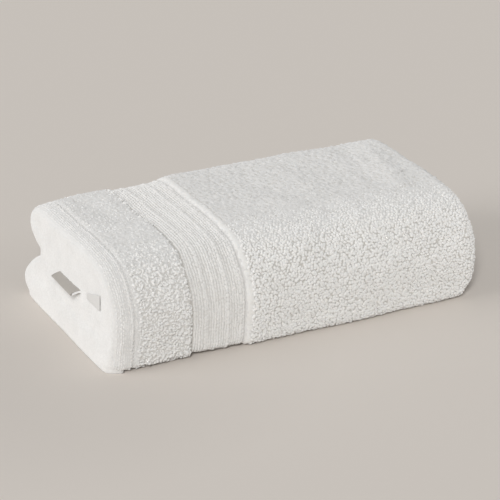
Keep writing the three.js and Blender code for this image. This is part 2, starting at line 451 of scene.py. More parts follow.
class ShaderTree(NodeTree):
    """The node tree of a new material."""

    MIXED_SOCKETS: ClassVar[tuple[int, int]] = (6, 7)

    def __init__(self, name: str) -> None:
        """Makes the material and empties its tree.

        Args:
            name: Name of the material.
        """
        self.material = bpy.data.materials.new(name)
        self.material.use_nodes = True
        super().__init__(self.material.node_tree)
        self.tree.nodes.clear()

    def place(self, size: float, stretch: Vector3 = (1, 1, 1)) -> Socket:
        """Object coordinates scaled so that a pattern's unit is size millimetres.

        Args:
            size: Length of one unit of the pattern, in millimetres.
            stretch: Further factors for each axis.

        Returns:
            The vector socket.
        """
        coordinates = self.add("ShaderNodeTexCoord")[3]
        scale = tuple(factor / (size * MM) for factor in stretch)
        return self.add("ShaderNodeMapping", {}, {"Vector": coordinates, "Scale": scale})[0]

    def noise(self, vector: Socket, detail: float = 2.0, roughness: float = 0.5) -> Socket:
        """Value of a noise texture, from 0 to 1."""
        inputs = {"Vector": vector, "Scale": 1.0, "Detail": detail, "Roughness": roughness}
        return self.add("ShaderNodeTexNoise", {}, inputs)[0]

    def mix(self, share: Socket, first: Socket | tuple, second: Socket | tuple) -> Socket:
        """Colour between two colours.

        Args:
            share: How much there is of the second.
            first: Colour or socket.
            second: Colour or socket.

        Returns:
            The colour socket.
        """
        colours = [colour if isinstance(colour, Socket) else (*colour, 1.0) for colour in (first, second)]
        inputs = {0: share, **dict(zip(self.MIXED_SOCKETS, colours))}
        return self.add("ShaderNodeMix", {"data_type": "RGBA", "clamp_factor": True}, inputs)[0]

    def attribute(self, name: str) -> Socket:
        """Value of an attribute of the mesh, 0 where it has none."""
        return self.add("ShaderNodeAttribute", {"attribute_name": name})[2]

    def bump(self, height: Socket, distance: float, strength: float) -> Socket:
        """Normal bumped by a height in units of distance millimetres."""
        inputs = {"Height": height, "Distance": distance * MM, "Strength": strength}
        return self.add("ShaderNodeBump", {}, inputs)[0]

    def finish(self, inputs: dict) -> bpy.types.Material:
        """Ends the tree in a Principled shader.

        Args:
            inputs: Values or links of the shader's sockets.

        Returns:
            The material.
        """
        shader = self.add("ShaderNodeBsdfPrincipled", {}, inputs)[0]
        self.add("ShaderNodeOutputMaterial", {}, {"Surface": shader})
        return self.material


@dataclass(frozen=True)
class CottonFinish:
    """White cotton: soft patches of tone, painted shade in the gaps under the pile, and fine fibres as
    bump.
    """

    name: str
    bright: Vector3 = (0.95, 0.945, 0.933)
    dim: Vector3 = (0.8, 0.79, 0.77)
    # Colour of the painted shade in the gaps under the pile
    deep: Vector3 = (0.62, 0.6, 0.56)
    patch: float = 14.0
    patch_share: float = 0.6
    fibre: float = 0.5
    fibre_share: float = 0.6
    fibre_height: float = 0.2
    curl: float = 1.5
    curl_share: float = 0.8
    curl_height: float = 0.5
    tone_offset: float = 0.5
    # How much the tone breaks up the painted shade
    bare_share: float = 0.7
    bump_strength: float = 0.6
    roughness: float = 0.92
    glow: float = 0.25
    glow_depth: float = 0.7

    def material(self) -> bpy.types.Material:
        """Builds the cotton material.

        Returns:
            The material.
        """
        tree = ShaderTree(self.name)
        patches = tree.noise(tree.place(self.patch), 3.0)
        fibres = tree.noise(tree.place(self.fibre), 3.0, 0.6)
        curls = tree.noise(tree.place(self.curl), 1.0, 0.6)
        mixed = patches * self.patch_share + fibres * self.fibre_share + curls * self.curl_share
        tone = mixed - self.tone_offset
        relief = fibres * self.fibre_height + curls * self.curl_height
        colour = tree.mix(tone, self.dim, self.bright)
        # Painted shade: the cover attribute darkens the cloth towards the gap shade colour where pile
        # stands on it
        painted_shade = tree.attribute("cover") * (1.0 - tone * self.bare_share)
        return tree.finish({
            "Base Color": tree.mix(painted_shade, colour, self.deep),
            "Roughness": self.roughness,
            "Diffuse Roughness": 1.0,
            "Subsurface Weight": self.glow,
            "Subsurface Radius": (1.0, 0.95, 0.9),
            "Subsurface Scale": self.glow_depth * MM,
            "Specular IOR Level": 0.1,
            "Sheen Weight": 0.2,
            "Sheen Roughness": 0.5,
            "Normal": tree.bump(relief, 1.0, self.bump_strength),
        })


@dataclass(frozen=True)
class RibbonFinish:
    """Satin ribbon: fine crosswise threads and a soft sheen."""

    name: str
    colour: Vector3
    shade: Vector3
    thread: float = 0.5
    thread_stretch: Vector3 = (1.0, 0.15, 1.0)
    thread_height: float = 0.05
    streak: float = 6.0
    streak_stretch: Vector3 = (1.0, 0.3, 1.0)
    streak_share: float = 0.5
    roughness: float = 0.35
    roughness_spread: float = 0.15
    bump_strength: float = 0.5

    def material(self) -> bpy.types.Material:
        """Builds the ribbon material.

        Returns:
            The material.
        """
        tree = ShaderTree(self.name)
        threads = tree.noise(tree.place(self.thread, self.thread_stretch), 1.0)
        streaks = tree.noise(tree.place(self.streak, self.streak_stretch), 2.0)
        tone = threads * (1 - self.streak_share) + streaks * self.streak_share
        return tree.finish({
            "Base Color": tree.mix(tone, self.shade, self.colour),
            "Roughness": threads * self.roughness_spread + self.roughness,
            "Specular IOR Level": 0.5,
            "Normal": tree.bump(threads, self.thread_height, self.bump_strength),
        })


@dataclass(frozen=True)
class FloorFinish:
    """Plain pale studio floor, with painted shade beside the towel's bright end that offsets the light the
    end throws on it.
    """

    name: str = "studio_floor"
    colour: Vector3 = (0.828, 0.774, 0.718)
    beside_end: Vector3 = (0.715, 0.668, 0.621)
    lit_centre: Vector3 = (-0.21, -0.02, 0.0)
    lit_reach: float = 0.26

    def material(self) -> bpy.types.Material:
        """Builds the floor material.

        Returns:
            The material.
        """
        tree = ShaderTree(self.name)
        inputs = {0: tree.place(1 / MM), 1: self.lit_centre}
        away = tree.add("ShaderNodeVectorMath", {"operation": "DISTANCE"}, inputs)[0]
        # Painted shade: the floor darkens towards the spot beside the towel's end
        colour = tree.mix(1.0 - away * (1 / self.lit_reach), self.colour, self.beside_end)
        return tree.finish({"Base Color": colour, "Roughness": 0.95, "Specular IOR Level": 0.1})


@dataclass
class Layout:
    """Where the towel's own layout lies in the frame."""

    shift: Vector3

    def mesh(
        self, name: str, points: np.ndarray, faces: np.ndarray, edges: np.ndarray | None = None
    ) -> bpy.types.Mesh:
        """Makes a mesh from points in the towel's layout.

        Args:
            name: Name of the mesh.
            points: One row of x, y and z for each vertex, in millimetres.
            faces: One row of corners for each face, all of one size, or an empty array.
            edges: One row of two ends for each loose edge, or None.

        Returns:
            The mesh, in metres in the frame.
        """
        mesh = bpy.data.meshes.new(name)
        mesh.vertices.add(len(points))
        mesh.vertices.foreach_set("co", ((points + np.array(self.shift)) * MM).astype(np.float32).ravel())
        if edges is not None:
            mesh.edges.add(len(edges))
            mesh.edges.foreach_set("vertices", edges.astype(np.int32).ravel())
        if len(faces):
            corners = faces.shape[1]
            mesh.loops.add(faces.size)
            mesh.loops.foreach_set("vertex_index", faces.astype(np.int32).ravel())
            mesh.polygons.add(len(faces))
            mesh.polygons.foreach_set("loop_start", np.arange(0, faces.size, corners, dtype=np.int32))
            mesh.update(calc_edges=True)
            mesh.shade_smooth()
        mesh.validate()
        return mesh


def lofted_faces(stations: int, size: int) -> np.ndarray:
    """Faces of a thin closed outline carried through stations, with a strip closing each end.

    Args:
        stations: Number of stations, one after the other in the points.
        size: Points of the outline, whose second half runs back along the first.

    Returns:
        One row of four corners for each face.
    """
    i = np.arange(size)
    ring = np.stack([i, i + size, (i + 1) % size + size, (i + 1) % size], axis=1)
    quads = (ring[None] + (np.arange(stations - 1) * size)[:, None, None]).reshape(-1, 4)
    k = np.arange(size // 2 - 1)
    cap = np.stack([k, k + 1, size - 2 - k, size - 1 - k], axis=1)
    return np.vstack([quads, cap, cap[:, ::-1] + (stations - 1) * size])


def new_object(
    name: str, mesh: bpy.types.Mesh, material: bpy.types.Material | None = None
) -> bpy.types.Object:
    """Links a new object at the origin.

    Args:
        name: Name of the object.
        mesh: Its mesh.
        material: Its only material, or None.

    Returns:
        The object.
    """
    if material is not None:
        mesh.materials.append(material)
    piece = bpy.data.objects.new(name, mesh)
    bpy.context.scene.collection.objects.link(piece)
    return piece


def dress(piece: bpy.types.Object, node: str | None = None) -> bpy.types.Object:
    """Ties a piece to the frame.

    Args:
        piece: The finished piece.
        node: CAD node that it stands for, or None.

    Returns:
        The piece.
    """
    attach(piece, "root")
    if node is not None:
        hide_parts(node)
    triangles = sum(len(face.vertices) - 2 for face in piece.data.polygons)
    log.info("%s: %d triangles", piece.name, triangles)
    return piece


@dataclass(frozen=True)
class SwellRow:
    """How the cloth rounds and swells at the hemmed end at one place round the section.

    The nose is the share of the hem's full rounding, cover is how far the plush swells over the
    hem's edge, inwards fills the inside of the book fold, sideways carries a selvage towards the
    front, and forward is how far the plush stands before the hem.
    """

    place: str
    nose: float
    cover: float
    inwards: float
    sideways: float
    forward: float


@dataclass
class Cloth:
    """The towel's cloth under its pile: hem, smooth strips, sunk border and body, folded in sixteen.

    The two faces of the outer run are tables of (x, depth), and the cover one of (x, share of painted
    shade). The drop of the hem's rounding and the way that a selvage goes sideways are tables of (depth,
    value). Stretches of the outer run that are filled with even steps are given as (start, end, step).
    """

    form: FoldedForm
    finish: CottonFinish
    half: float = 1.3
    hidden_half: float = 1.9
    nose_length: float = 13.0
    nose_drops: tuple[Span, ...] = ((1.15, 4.8), (4.9, 1.6), (5.2, 1.6), (5.4, 0.0))
    run_end: float = 333.0
    inner_hem_setback: float = 30.0
    roll_left: float = 0.1
    roll_span: Span = (7.4, 22.0)
    roll_length: float = 8.0
    roll_squareness: float = 4.0
    roll_ease: float = 0.4
    neck: float = 27.0
    ring_step: float = 4.0
    hidden_step: float = 14.0
    nose_steps: int = 8
    turn_steps: int = 14
    roll_steps: int = 22
    turn_gap: float = 2.45
    filled: tuple[Vector3, ...] = ((11, 17, 3.0), (33, 70, 4.5), (75, 121, 5.0), (136, 333, 5.0))
    end_fade: Span = (9.0, 26.0)
    edge_fade: float = 30.0
    outer_face: tuple[Span, ...] = (
        (0.0, 1.15), (17.4, 1.15), (18.2, 1.6), (18.8, 2.1), (19.6, 2.1), (20.2, 1.6), (21.2, 1.25),
        (23.0, 1.25), (24.6, 1.6), (26.0, 1.7), (70.4, 1.7), (71.4, 3.6), (75.0, 3.4), (80.0, 3.0),
        (120.6, 3.0), (121.6, 3.6), (122.6, 2.7), (124.2, 1.7), (126.6, 1.35), (129.4, 1.4), (131.6, 1.7),
    )
    inner_face: tuple[Span, ...] = (
        (0.0, 4.9), (19.0, 4.9), (28.0, 4.1), (70.0, 4.1), (74.0, 4.9), (120.0, 4.9), (128.0, 4.1),
    )
    swell_rows: tuple[SwellRow, ...] = (
        SwellRow("upper flap edge", 0.6, 7.6, 4.0, 23.0, 0.4),
        SwellRow("upper flap", 0.6, 7.6, 2.7, 0.0, 0.4),
        SwellRow("notch, upper side", 0.6, 7.6, 2.7, 0.0, 0.4),
        SwellRow("upper roll, lower side", 0.8, 5.0, 2.0, 0.0, 0.8),
        SwellRow("upper roll, back", 1.0, 2.6, 1.5, 0.0, 0.8),
        SwellRow("upper roll, upper side", 1.0, 2.2, 2.0, 0.0, 0.0),
        SwellRow("top, middle", 1.0, 2.2, 2.7, 0.0, 0.0),
        SwellRow("book fold, top", 1.0, 2.2, 6.0, 0.0, 0.0),
        SwellRow("book fold, shoulder", 1.0, 2.2, 10.0, 0.0, 0.0),
        SwellRow("book fold, belly", 1.0, 2.2, 10.0, 0.0, 0.0),
        SwellRow("book fold, foot", 1.0, 2.5, 4.0, 0.0, 1.0),
        SwellRow("bottom, front", 1.0, 5.5, 2.5, 0.0, 2.0),
        SwellRow("bottom, back", 1.0, 5.5, 2.0, 0.0, 2.0),
        SwellRow("lower roll, back", 1.0, 5.5, 1.5, 0.0, 2.0),
        SwellRow("lower roll, upper side", 0.8, 5.5, 2.0, 0.0, 1.2),
        SwellRow("notch, lower side", 0.6, 7.6, 2.0, 0.0, 0.4),
        SwellRow("lower flap", 0.6, 7.6, 2.0, 0.0, 0.4),
        SwellRow("lower flap edge", 0.3, 5.0, 3.0, 13.0, 0.2),
    )
    # Share of painted shade on the outer face: none on hem and strip, some under loops and ribs, full under
    # nubs, and a painted shadow line where the terry band overhangs the border
    cover: tuple[Span, ...] = (
        (21.5, 0.0), (24.0, 0.5), (70.0, 0.5), (71.0, 1.5), (73.0, 1.5), (74.0, 0.45), (121.0, 0.45),
        (122.5, 0.0), (127.0, 0.0), (130.0, 1.0),
    )
    sideways: tuple[Span, ...] = ((0.0, 0.35), (7.4, 1.0), (14.7, 0.9), (22.0, 0.5))

    @property
    def turn_centre(self) -> Span:
        """Centre in x and depth of the turns at the plush end."""
        pitch = self.form.pitch
        return self.form.pack_length - 1.5 * pitch - self.turn_gap, 2 * pitch

    def swell(self, t: np.ndarray, column: str) -> np.ndarray:
        """Value of a column of the swelling table round the section."""
        places = [ROW_AT[row.place] for row in self.swell_rows]
        return np.interp(t, places, [getattr(row, column) for row in self.swell_rows])

    def spot(self, x: np.ndarray, depth: np.ndarray, t: np.ndarray) -> np.ndarray:
        """Places points of the cloth, with the swellings at the hemmed end.

        Args:
            x: Places along the fold.
            depth: Depths below the outside of the stack.
            t: Places round the book section.

        Returns:
            One row of x, y and z for each point.
        """
        near, far = self.roll_span
        middle = (near + far) / 2
        share = 1 - smoothstep(x, *self.end_fade)
        bow = 1 - np.sqrt(1 - np.clip(1 - x / self.nose_length, 0, 1) ** 2)
        depth = depth + bow * looked_up(self.nose_drops, depth) * self.swell(t, "nose")
        in_roll = smoothstep(depth, near - self.roll_ease, near)
        x = x - share * in_roll * self.swell(t, "forward")
        sideways = looked_up(self.sideways, depth)
        depth = depth - share * in_roll * self.swell(t, "cover") * (1 - smoothstep(depth, near, middle))
        depth = depth + share * self.swell(t, "inwards") * smoothstep(depth, middle, far)
        points = self.form.place(x, depth, t)
        reach = share * self.swell(t, "sideways") * sideways
        path = np.interp(t, self.form.path_steps, self.form.path)
        from_edge = np.minimum(path, self.form.path[-1] - path)
        points[:, 1] -= reach * (1 - smoothstep(from_edge, 0, self.edge_fade))
        return points

    def _run(self, layer: int, start: float) -> list[tuple[float, ...]]:
        """Plain run of a hidden layer.

        Args:
            layer: Number of the layer, from 1 at the outside.
            start: Where it starts, along the fold.

        Returns:
            Rows of near x, near depth, far x and far depth.
        """
        xs = np.arange(start, self.run_end, self.hidden_step)
        depth = self.form.layer_depth(layer)
        half = self.hidden_half if layer % 2 else -self.hidden_half
        rows = [(x, depth - half, x, depth + half) for x in xs]
        return rows if half > 0 else rows[::-1]

    def _turn(self, radius: float, inwards: bool) -> list[tuple[float, ...]]:
        """Half turn at the plush end.

        Args:
            radius: Radius of the cloth's middle.
            inwards: Whether it goes from the outside to the inside of the stack.

        Returns:
            Rows like those of a run.
        """
        side = 1 if inwards else -1
        centre_x, centre_depth = self.turn_centre
        rows = []
        for i in range(self.turn_steps + 1):
            angle = math.pi * (i / self.turn_steps - 0.5) * side
            near, far = radius + side * self.half, radius - side * self.half
            rows.append((
                centre_x + math.cos(angle) * near, centre_depth + math.sin(angle) * near,
                centre_x + math.cos(angle) * far, centre_depth + math.sin(angle) * far,
            ))
        return rows

    def _roll(self) -> list[tuple[float, ...]]:
        """Plush roll at the hemmed end, from its deep side to its side behind the hem.

        Returns:
            Rows like those of a run.
        """
        near, far = self.roll_span
        middle, half_span = (near + far) / 2, (far - near) / 2
        power = 2 / self.roll_squareness
        rows = []
        for i in range(self.roll_steps + 1):
            angle = math.pi * (0.5 - i / self.roll_steps)
            across = math.copysign(abs(math.sin(angle)) ** power, math.sin(angle))
            forward = math.cos(angle) ** power
            thin = 1 - 2 * self.half / half_span
            x = self.roll_left + self.roll_length * (1 - forward)
            rows.append((
                x, middle + half_span * across,
                x + 2 * self.half * forward, middle + half_span * thin * across,
            ))
        return rows

    def outline(self) -> tuple[np.ndarray, slice]:
        """Outline of the folded cloth in x and depth.

        Returns:
            Rows of near x, near depth, far x and far depth, from the outer hem to the inner hem, with
            the rows of the outer face.
        """
        nose = self.nose_length * (1 - np.cos(np.linspace(0, math.pi / 2, self.nose_steps)))
        rows_x = [x for x, _ in self.outer_face if x > self.nose_length]
        xs = np.unique(np.concatenate([nose, rows_x, *(np.arange(*span) for span in self.filled)]))
        near, far = looked_up(self.outer_face, xs), looked_up(self.inner_face, xs)
        rows = list(zip(xs, near, xs, far))
        rows += self._turn(1.5 * self.form.pitch, True)
        outer_face = slice(0, len(rows))
        rows += self._run(4, self.neck)
        rows += self._roll()
        rows += self._run(3, self.neck)
        rows += self._turn(0.5 * self.form.pitch, False)
        rows += self._run(2, self.inner_hem_setback)
        return np.array(rows), outer_face

    def build(self, layout: Layout) -> bpy.types.Object:
        """Carries the outline round the book section and closes it at both selvages.

        Args:
            layout: Where the towel lies.

        Returns:
            The cloth.
        """
        rows, outer_face = self.outline()
        loop = np.vstack([rows[:, :2], rows[::-1, 2:]])
        size = len(loop)
        rings = int(self.form.path[-1] / self.ring_step)
        t = self.form.t_of(np.linspace(0, self.form.path[-1], rings))
        xs, depths = np.tile(loop[:, 0], rings), np.tile(loop[:, 1], rings)
        points = self.spot(xs, depths, np.repeat(t, size))
        mesh = layout.mesh("towel_cloth", points, lofted_faces(rings, size))
        # The cover attribute holds the share of painted shade by which the cloth's finish darkens it
        cover = np.zeros(size, np.float32)
        cover[outer_face] = looked_up(self.cover, loop[outer_face, 0])
        mesh.attributes.new("cover", "FLOAT", "POINT").data.foreach_set("value", np.tile(cover, rings))
        return dress(new_object("towel_cloth", mesh, self.finish.material()), "towel")


@dataclass
class Face:
    """A stretch of the cloth's surface, measured by the way along its outline and the path round it."""

    cloth: Cloth
    line: np.ndarray
    probe: float = 0.4

    def __post_init__(self) -> None:
        """Measures the way along the outline."""
        steps = np.linalg.norm(np.diff(self.line, axis=0), axis=1)
        self.ways = np.concatenate([[0.0], np.cumsum(steps)])

    @classmethod
    def outside(cls, cloth: Cloth, start: float, end: float | None = None) -> "Face":
        """Outer face of a stretch of the cloth.

        Args:
            cloth: The cloth.
            start: Where the stretch starts, along the fold.
            end: Where it ends, or None to go round the plush end.

        Returns:
            The face.
        """
        rows, outer_face = cloth.outline()
        line = rows[outer_face, :2]
        line = line[line[:, 0] > start]
        stops = [start]
        if end is not None:
            line = line[line[:, 0] < end]
            stops.append(end)
        ends = np.stack([stops, looked_up(cloth.outer_face, stops)], axis=1)
        return cls(cloth, np.vstack([ends[:1], line, ends[1:]]))

    def way_of(self, x: float) -> float:
        """Way along the outline at a place along the fold."""
        return float(np.interp(x, self.line[:, 0], self.ways))

    def at(self, way: np.ndarray, path: np.ndarray) -> np.ndarray:
        """Points of the face."""
        x, depth = (np.interp(way, self.ways, self.line[:, column]) for column in (0, 1))
        return self.cloth.spot(x, depth, self.cloth.form.t_of(path))

    def frames(self, way: np.ndarray, path: np.ndarray) -> tuple[np.ndarray, np.ndarray, np.ndarray]:
        """Points of the face, its outward directions and its directions along the path.

        Args:
            way: Ways along the outline.
            path: Lengths round the section.

        Returns:
            Points, outward unit vectors and unit vectors along the path.
        """
        low_way, high_way = (np.clip(way + step, 0, self.ways[-1]) for step in (-self.probe, self.probe))
        end = self.cloth.form.path[-1]
        low, high = (np.clip(path + step, 0, end) for step in (-self.probe, self.probe))
        on_way = self.at(high_way, path) - self.at(low_way, path)
        on_path = self.at(way, high) - self.at(way, low)
        up = np.cross(on_path, on_way)
        up /= np.linalg.norm(up, axis=1)[:, None] + TINY
        on_path /= np.linalg.norm(on_path, axis=1)[:, None] + TINY
        return self.at(way, path), up, on_path


class GrowthTree(NodeTree):
    """A Geometry Nodes tree with named inputs, which grows small shapes on a carrier mesh."""

    SOCKETS: ClassVar[dict[type, str]] = {
        int: "NodeSocketInt",
        float: "NodeSocketFloat",
        bpy.types.Material: "NodeSocketMaterial",
    }
    FLOOR_GAP: ClassVar[float] = 0.0001

    def __init__(self, name: str, sizes: dict[str, float | int], finish: bpy.types.Material) -> None:
        """Makes the tree and its inputs.

        Args:
            name: Name of the tree.
            sizes: Name to value of each input; a float is in metres or a plain factor.
            finish: Material of what grows.
        """
        super().__init__(bpy.data.node_groups.new(name, "GeometryNodeTree"))
        self.values = {"Finish": finish, **sizes}
        self.tree.interface.new_socket("Geometry", in_out="INPUT", socket_type="NodeSocketGeometry")
        self.identifiers = {}
        for key, value in self.values.items():
            kind = next(socket for base, socket in self.SOCKETS.items() if isinstance(value, base))
            item = self.tree.interface.new_socket(key, in_out="INPUT", socket_type=kind)
            self.identifiers[key] = item.identifier
        self.tree.interface.new_socket("Geometry", in_out="OUTPUT", socket_type="NodeSocketGeometry")
        sockets = self.add("NodeGroupInput")
        self.carrier = sockets[0]
        self.inputs = dict(zip(self.values, sockets[1:]))

    def attribute(self, name: str, kind: str = "FLOAT_VECTOR") -> Socket:
        """A named attribute of the geometry."""
        return self.add("GeometryNodeInputNamedAttribute", {"data_type": kind}, {"Name": name})[0]

    def vector(self, operation: str, *values: Socket | tuple) -> Socket:
        """Adds one Vector Math node."""
        return self.add("ShaderNodeVectorMath", {"operation": operation}, dict(enumerate(values)))[0]

    def scaled(self, vector: Socket, factor: Socket) -> Socket:
        """A vector times a number."""
        return self.add("ShaderNodeVectorMath", {"operation": "SCALE"}, {0: vector, "Scale": factor})[0]

    def join(self, x: Socket, y: Socket, z: Socket) -> Socket:
        """A vector from its parts."""
        return self.add("ShaderNodeCombineXYZ", {}, {"X": x, "Y": y, "Z": z})[0]

    def random(self, low: float, high: float, salt: int) -> Socket:
        """A random number for each element."""
        inputs = {"Min": low, "Max": high, "Seed": self.inputs["Seed"] + salt}
        return self.add("FunctionNodeRandomValue", {"data_type": "FLOAT"}, inputs)[0]

    def random_vector(self, salt: int) -> Socket:
        """A random vector for each element, with parts from -1 to 1."""
        inputs = {"Min": (-1, -1, -1), "Max": (1, 1, 1), "Seed": self.inputs["Seed"] + salt}
        return self.add("FunctionNodeRandomValue", {"data_type": "FLOAT_VECTOR"}, inputs)[0]

    def scatter(self, spots: Socket, shape: Socket, heading: Socket, spin: Socket, scale: Socket) -> Socket:
        """Puts a shape on every spot.

        Args:
            spots: Points to grow on.
            shape: Geometry of one instance, with its own +Z up.
            heading: Direction that +Z takes.
            spin: Turn about that direction, from where +X follows the section.
            scale: Scale vector.

        Returns:
            The realized instances.
        """
        align = "FunctionNodeAlignRotationToVector"
        aim = self.add(align, {"axis": "Z"}, {"Vector": heading})[0]
        level = {"Rotation": aim, "Vector": self.attribute("along")}
        aim = self.add(align, {"axis": "X", "pivot_axis": "Z"}, level)[0]
        turn = self.add("FunctionNodeAxisAngleToRotation", {}, {"Axis": (0, 0, 1), "Angle": spin})[0]
        turned = {"Rotation": aim, "Rotate By": turn}
        both = self.add("FunctionNodeRotateRotation", {"rotation_space": "LOCAL"}, turned)[0]
        inputs = {"Points": spots, "Instance": shape, "Rotation": both, "Scale": scale}
        placed = self.add("GeometryNodeInstanceOnPoints", {}, inputs)[0]
        return self.add("GeometryNodeRealizeInstances", {}, {"Geometry": placed})[0]

    def end(self, geometry: Socket) -> None:
        """Roughens the shapes, keeps them over the floor and dresses them.

        Args:
            geometry: The realized shapes.
        """
        position = self.add("GeometryNodeInputPosition")[0]
        pattern = {"Vector": position, "Scale": self.inputs["Wobble Scale"], "Detail": 1.0}
        colour = self.add("ShaderNodeTexNoise", {}, pattern)[1]
        push = self.scaled(self.vector("SUBTRACT", colour, (0.5, 0.5, 0.5)), self.inputs["Wobble"])
        moved = self.vector("ADD", position, push)
        x, y, z = self.add("ShaderNodeSeparateXYZ", {}, {"Vector": moved})
        over = self.join(x, y, z.larger(self.FLOOR_GAP))
        rough = self.add("GeometryNodeSetPosition", {}, {"Geometry": geometry, "Position": over})[0]
        smooth = self.add("GeometryNodeSetShadeSmooth", {}, {"Geometry": rough})[0]
        finish = {"Geometry": smooth, "Material": self.inputs["Finish"]}
        dressed = self.add("GeometryNodeSetMaterial", {}, finish)[0]
        self.add("NodeGroupOutput", {}, {"Geometry": dressed})

    def grow(self, name: str, carrier: bpy.types.Mesh) -> bpy.types.Object:
        """Runs the tree on a carrier and keeps the result as a plain mesh.

        Args:
            name: Name of the piece.
            carrier: Mesh that the shapes grow on.

        Returns:
            The piece, without a modifier.
        """
        piece = new_object(name, carrier)
        modifier = piece.modifiers.new("growth", "NODES")
        modifier.node_group = self.tree
        for key, value in self.values.items():
            modifier[self.identifiers[key]] = value
        evaluated = piece.evaluated_get(bpy.context.evaluated_depsgraph_get())
        mesh = bpy.data.meshes.new_from_object(evaluated)
        piece.modifiers.clear()
        piece.data = mesh
        mesh.name = name
        return piece


@dataclass
class Growth:
    """Anything that grows on the cloth: its sizes in millimetres become the inputs of its tree.

    LENGTHS and NUMBERS name the fields that become inputs, besides those of the wobble.
    """

    finish: bpy.types.Material
    name: str = "growth"
    wobble: float = 0.7
    wobble_size: float = 2.0

    LENGTHS: ClassVar[tuple[str, ...]] = ()
    NUMBERS: ClassVar[tuple[str, ...]] = ()

    def start(self) -> GrowthTree:
        """Makes the tree with its inputs.

        Returns:
            The tree, still without anything that grows.
        """
        sizes = {key: getattr(self, key) * MM for key in (*self.LENGTHS, "wobble")}
        sizes |= {key: getattr(self, key) for key in self.NUMBERS}
        sizes["wobble_scale"] = 1 / (self.wobble_size * MM)
        inputs = {key.replace("_", " ").title(): size for key, size in sizes.items()}
        return GrowthTree(self.name, inputs, self.finish)


@dataclass
class GrainPile(Growth):
    """Terry pile as nubs of plump grains."""

    name: str = "nubs"
    grains: int = 1
    detail: int = 1
    spread: float = 0.5
    flatness: float = 0.75
    length: float = 2.1
    width: float = 1.5
    height: float = 1.9
    long_range: Span = (0.75, 1.25)
    wide_range: Span = (0.8, 1.2)
    lean: float = 0.45
    spin: float = 1.1
    seed: int = 3

    LENGTHS = ("spread", "length", "width", "height")
    NUMBERS = ("grains", "detail", "lean", "spin", "seed")

    def tree(self) -> GrowthTree:
        """Builds the tree that grows the nubs.

        Returns:
            The finished tree.
        """
        tree = self.start()
        given = tree.inputs
        up, size = tree.attribute("up"), tree.attribute("size", "FLOAT")
        many = {"Geometry": tree.carrier, "Amount": given["Grains"]}
        spots = tree.add("GeometryNodeDuplicateElements", {"domain": "POINT"}, many)[0]
        shake = tree.scaled(tree.random_vector(1), given["Spread"] * size)
        level = tree.vector("DOT_PRODUCT", shake, up) * self.flatness
        flat = tree.vector("SUBTRACT", shake, tree.scaled(up, level))
        spots = tree.add("GeometryNodeSetPosition", {}, {"Geometry": spots, "Offset": flat})[0]
        shape = {"Radius": 1.0, "Subdivisions": given["Detail"]}
        ball = tree.add("GeometryNodeMeshIcoSphere", {}, shape)[0]
        heading = tree.vector("ADD", up, tree.scaled(tree.random_vector(2), given["Lean"]))
        scale = tree.join(
            given["Length"] * size * tree.random(*self.long_range, 3),
            given["Width"] * size * tree.random(*self.wide_range, 4),
            given["Height"] * size * tree.random(*self.long_range, 5),
        )
        spin = tree.random(-1.0, 1.0, 6) * given["Spin"]
        tree.end(tree.scatter(spots, ball, heading, spin, scale))
        return tree


@dataclass
class LoopPile(Growth):
    """Terry pile as single bent loops of yarn."""

    name: str = "loop_pile"
    radius: float = 1.15
    yarn: float = 1.2
    sweep: float = 2.5
    steps: int = 5
    sides: int = 4
    lean: float = 1.2
    size_range: Span = (0.75, 1.2)
    seed: int = 5

    LENGTHS = ("radius",)
    NUMBERS = ("yarn_share", "sweep", "steps", "sides", "lean", "seed")

    @property
    def yarn_share(self) -> float:
        """Radius of the yarn as a share of the loop's."""
        return self.yarn / self.radius

    def tree(self) -> GrowthTree:
        """Builds the tree that grows the loops.

        Returns:
            The finished tree.
        """
        tree = self.start()
        given = tree.inputs
        up, size = tree.attribute("up"), tree.attribute("size", "FLOAT")
        sweep = given["Sweep"]
        bow = {"Resolution": given["Steps"], "Radius": 1.0, "Sweep Angle": sweep}
        bow["Start Angle"] = sweep * -0.5 + math.pi / 2
        arc = tree.add("GeometryNodeCurveArc", {"mode": "RADIUS"}, bow)[0]
        circle = {"Resolution": given["Sides"], "Radius": given["Yarn Share"]}
        ring = tree.add("GeometryNodeCurvePrimitiveCircle", {"mode": "RADIUS"}, circle)[0]
        along = {"Curve": arc, "Profile Curve": ring, "Fill Caps": True}
        tube = tree.add("GeometryNodeCurveToMesh", {}, along)[0]
        stand = {"Geometry": tube, "Rotation": (math.pi / 2, 0, 0)}
        upright = tree.add("GeometryNodeTransform", {}, stand)[0]
        heading = tree.vector("ADD", up, tree.scaled(tree.random_vector(2), given["Lean"]))
        factor = given["Radius"] * size * tree.random(*self.size_range, 3)
        spin = tree.random(0.0, math.tau, 6)
        tree.end(tree.scatter(tree.carrier, upright, heading, spin, tree.join(factor, factor, factor)))
        return tree


@dataclass
class Stitches(Growth):
    """Short plump stitches in line with the hem."""

    name: str = "stitches"
    length: float = 1.35
    width: float = 0.55
    height: float = 0.5
    lean: float = 0.15
    spin: float = 0.25
    wobble: float = 0.3
    seed: int = 13

    LENGTHS = ("length", "width", "height")
    NUMBERS = ("lean", "spin", "seed")

    def tree(self) -> GrowthTree:
        """Builds the tree that sews the stitches.

        Returns:
            The finished tree.
        """
        tree = self.start()
        given = tree.inputs
        up, size = tree.attribute("up"), tree.attribute("size", "FLOAT")
        bead = tree.add("GeometryNodeMeshIcoSphere", {}, {"Radius": 1.0, "Subdivisions": 1})[0]
        heading = tree.vector("ADD", up, tree.scaled(tree.random_vector(1), given["Lean"]))
        scale = tree.join(*(given[side] * size for side in ("Length", "Width", "Height")))
        spin = tree.random(-1.0, 1.0, 2) * given["Spin"]
        tree.end(tree.scatter(tree.carrier, bead, heading, spin, scale))
        return tree


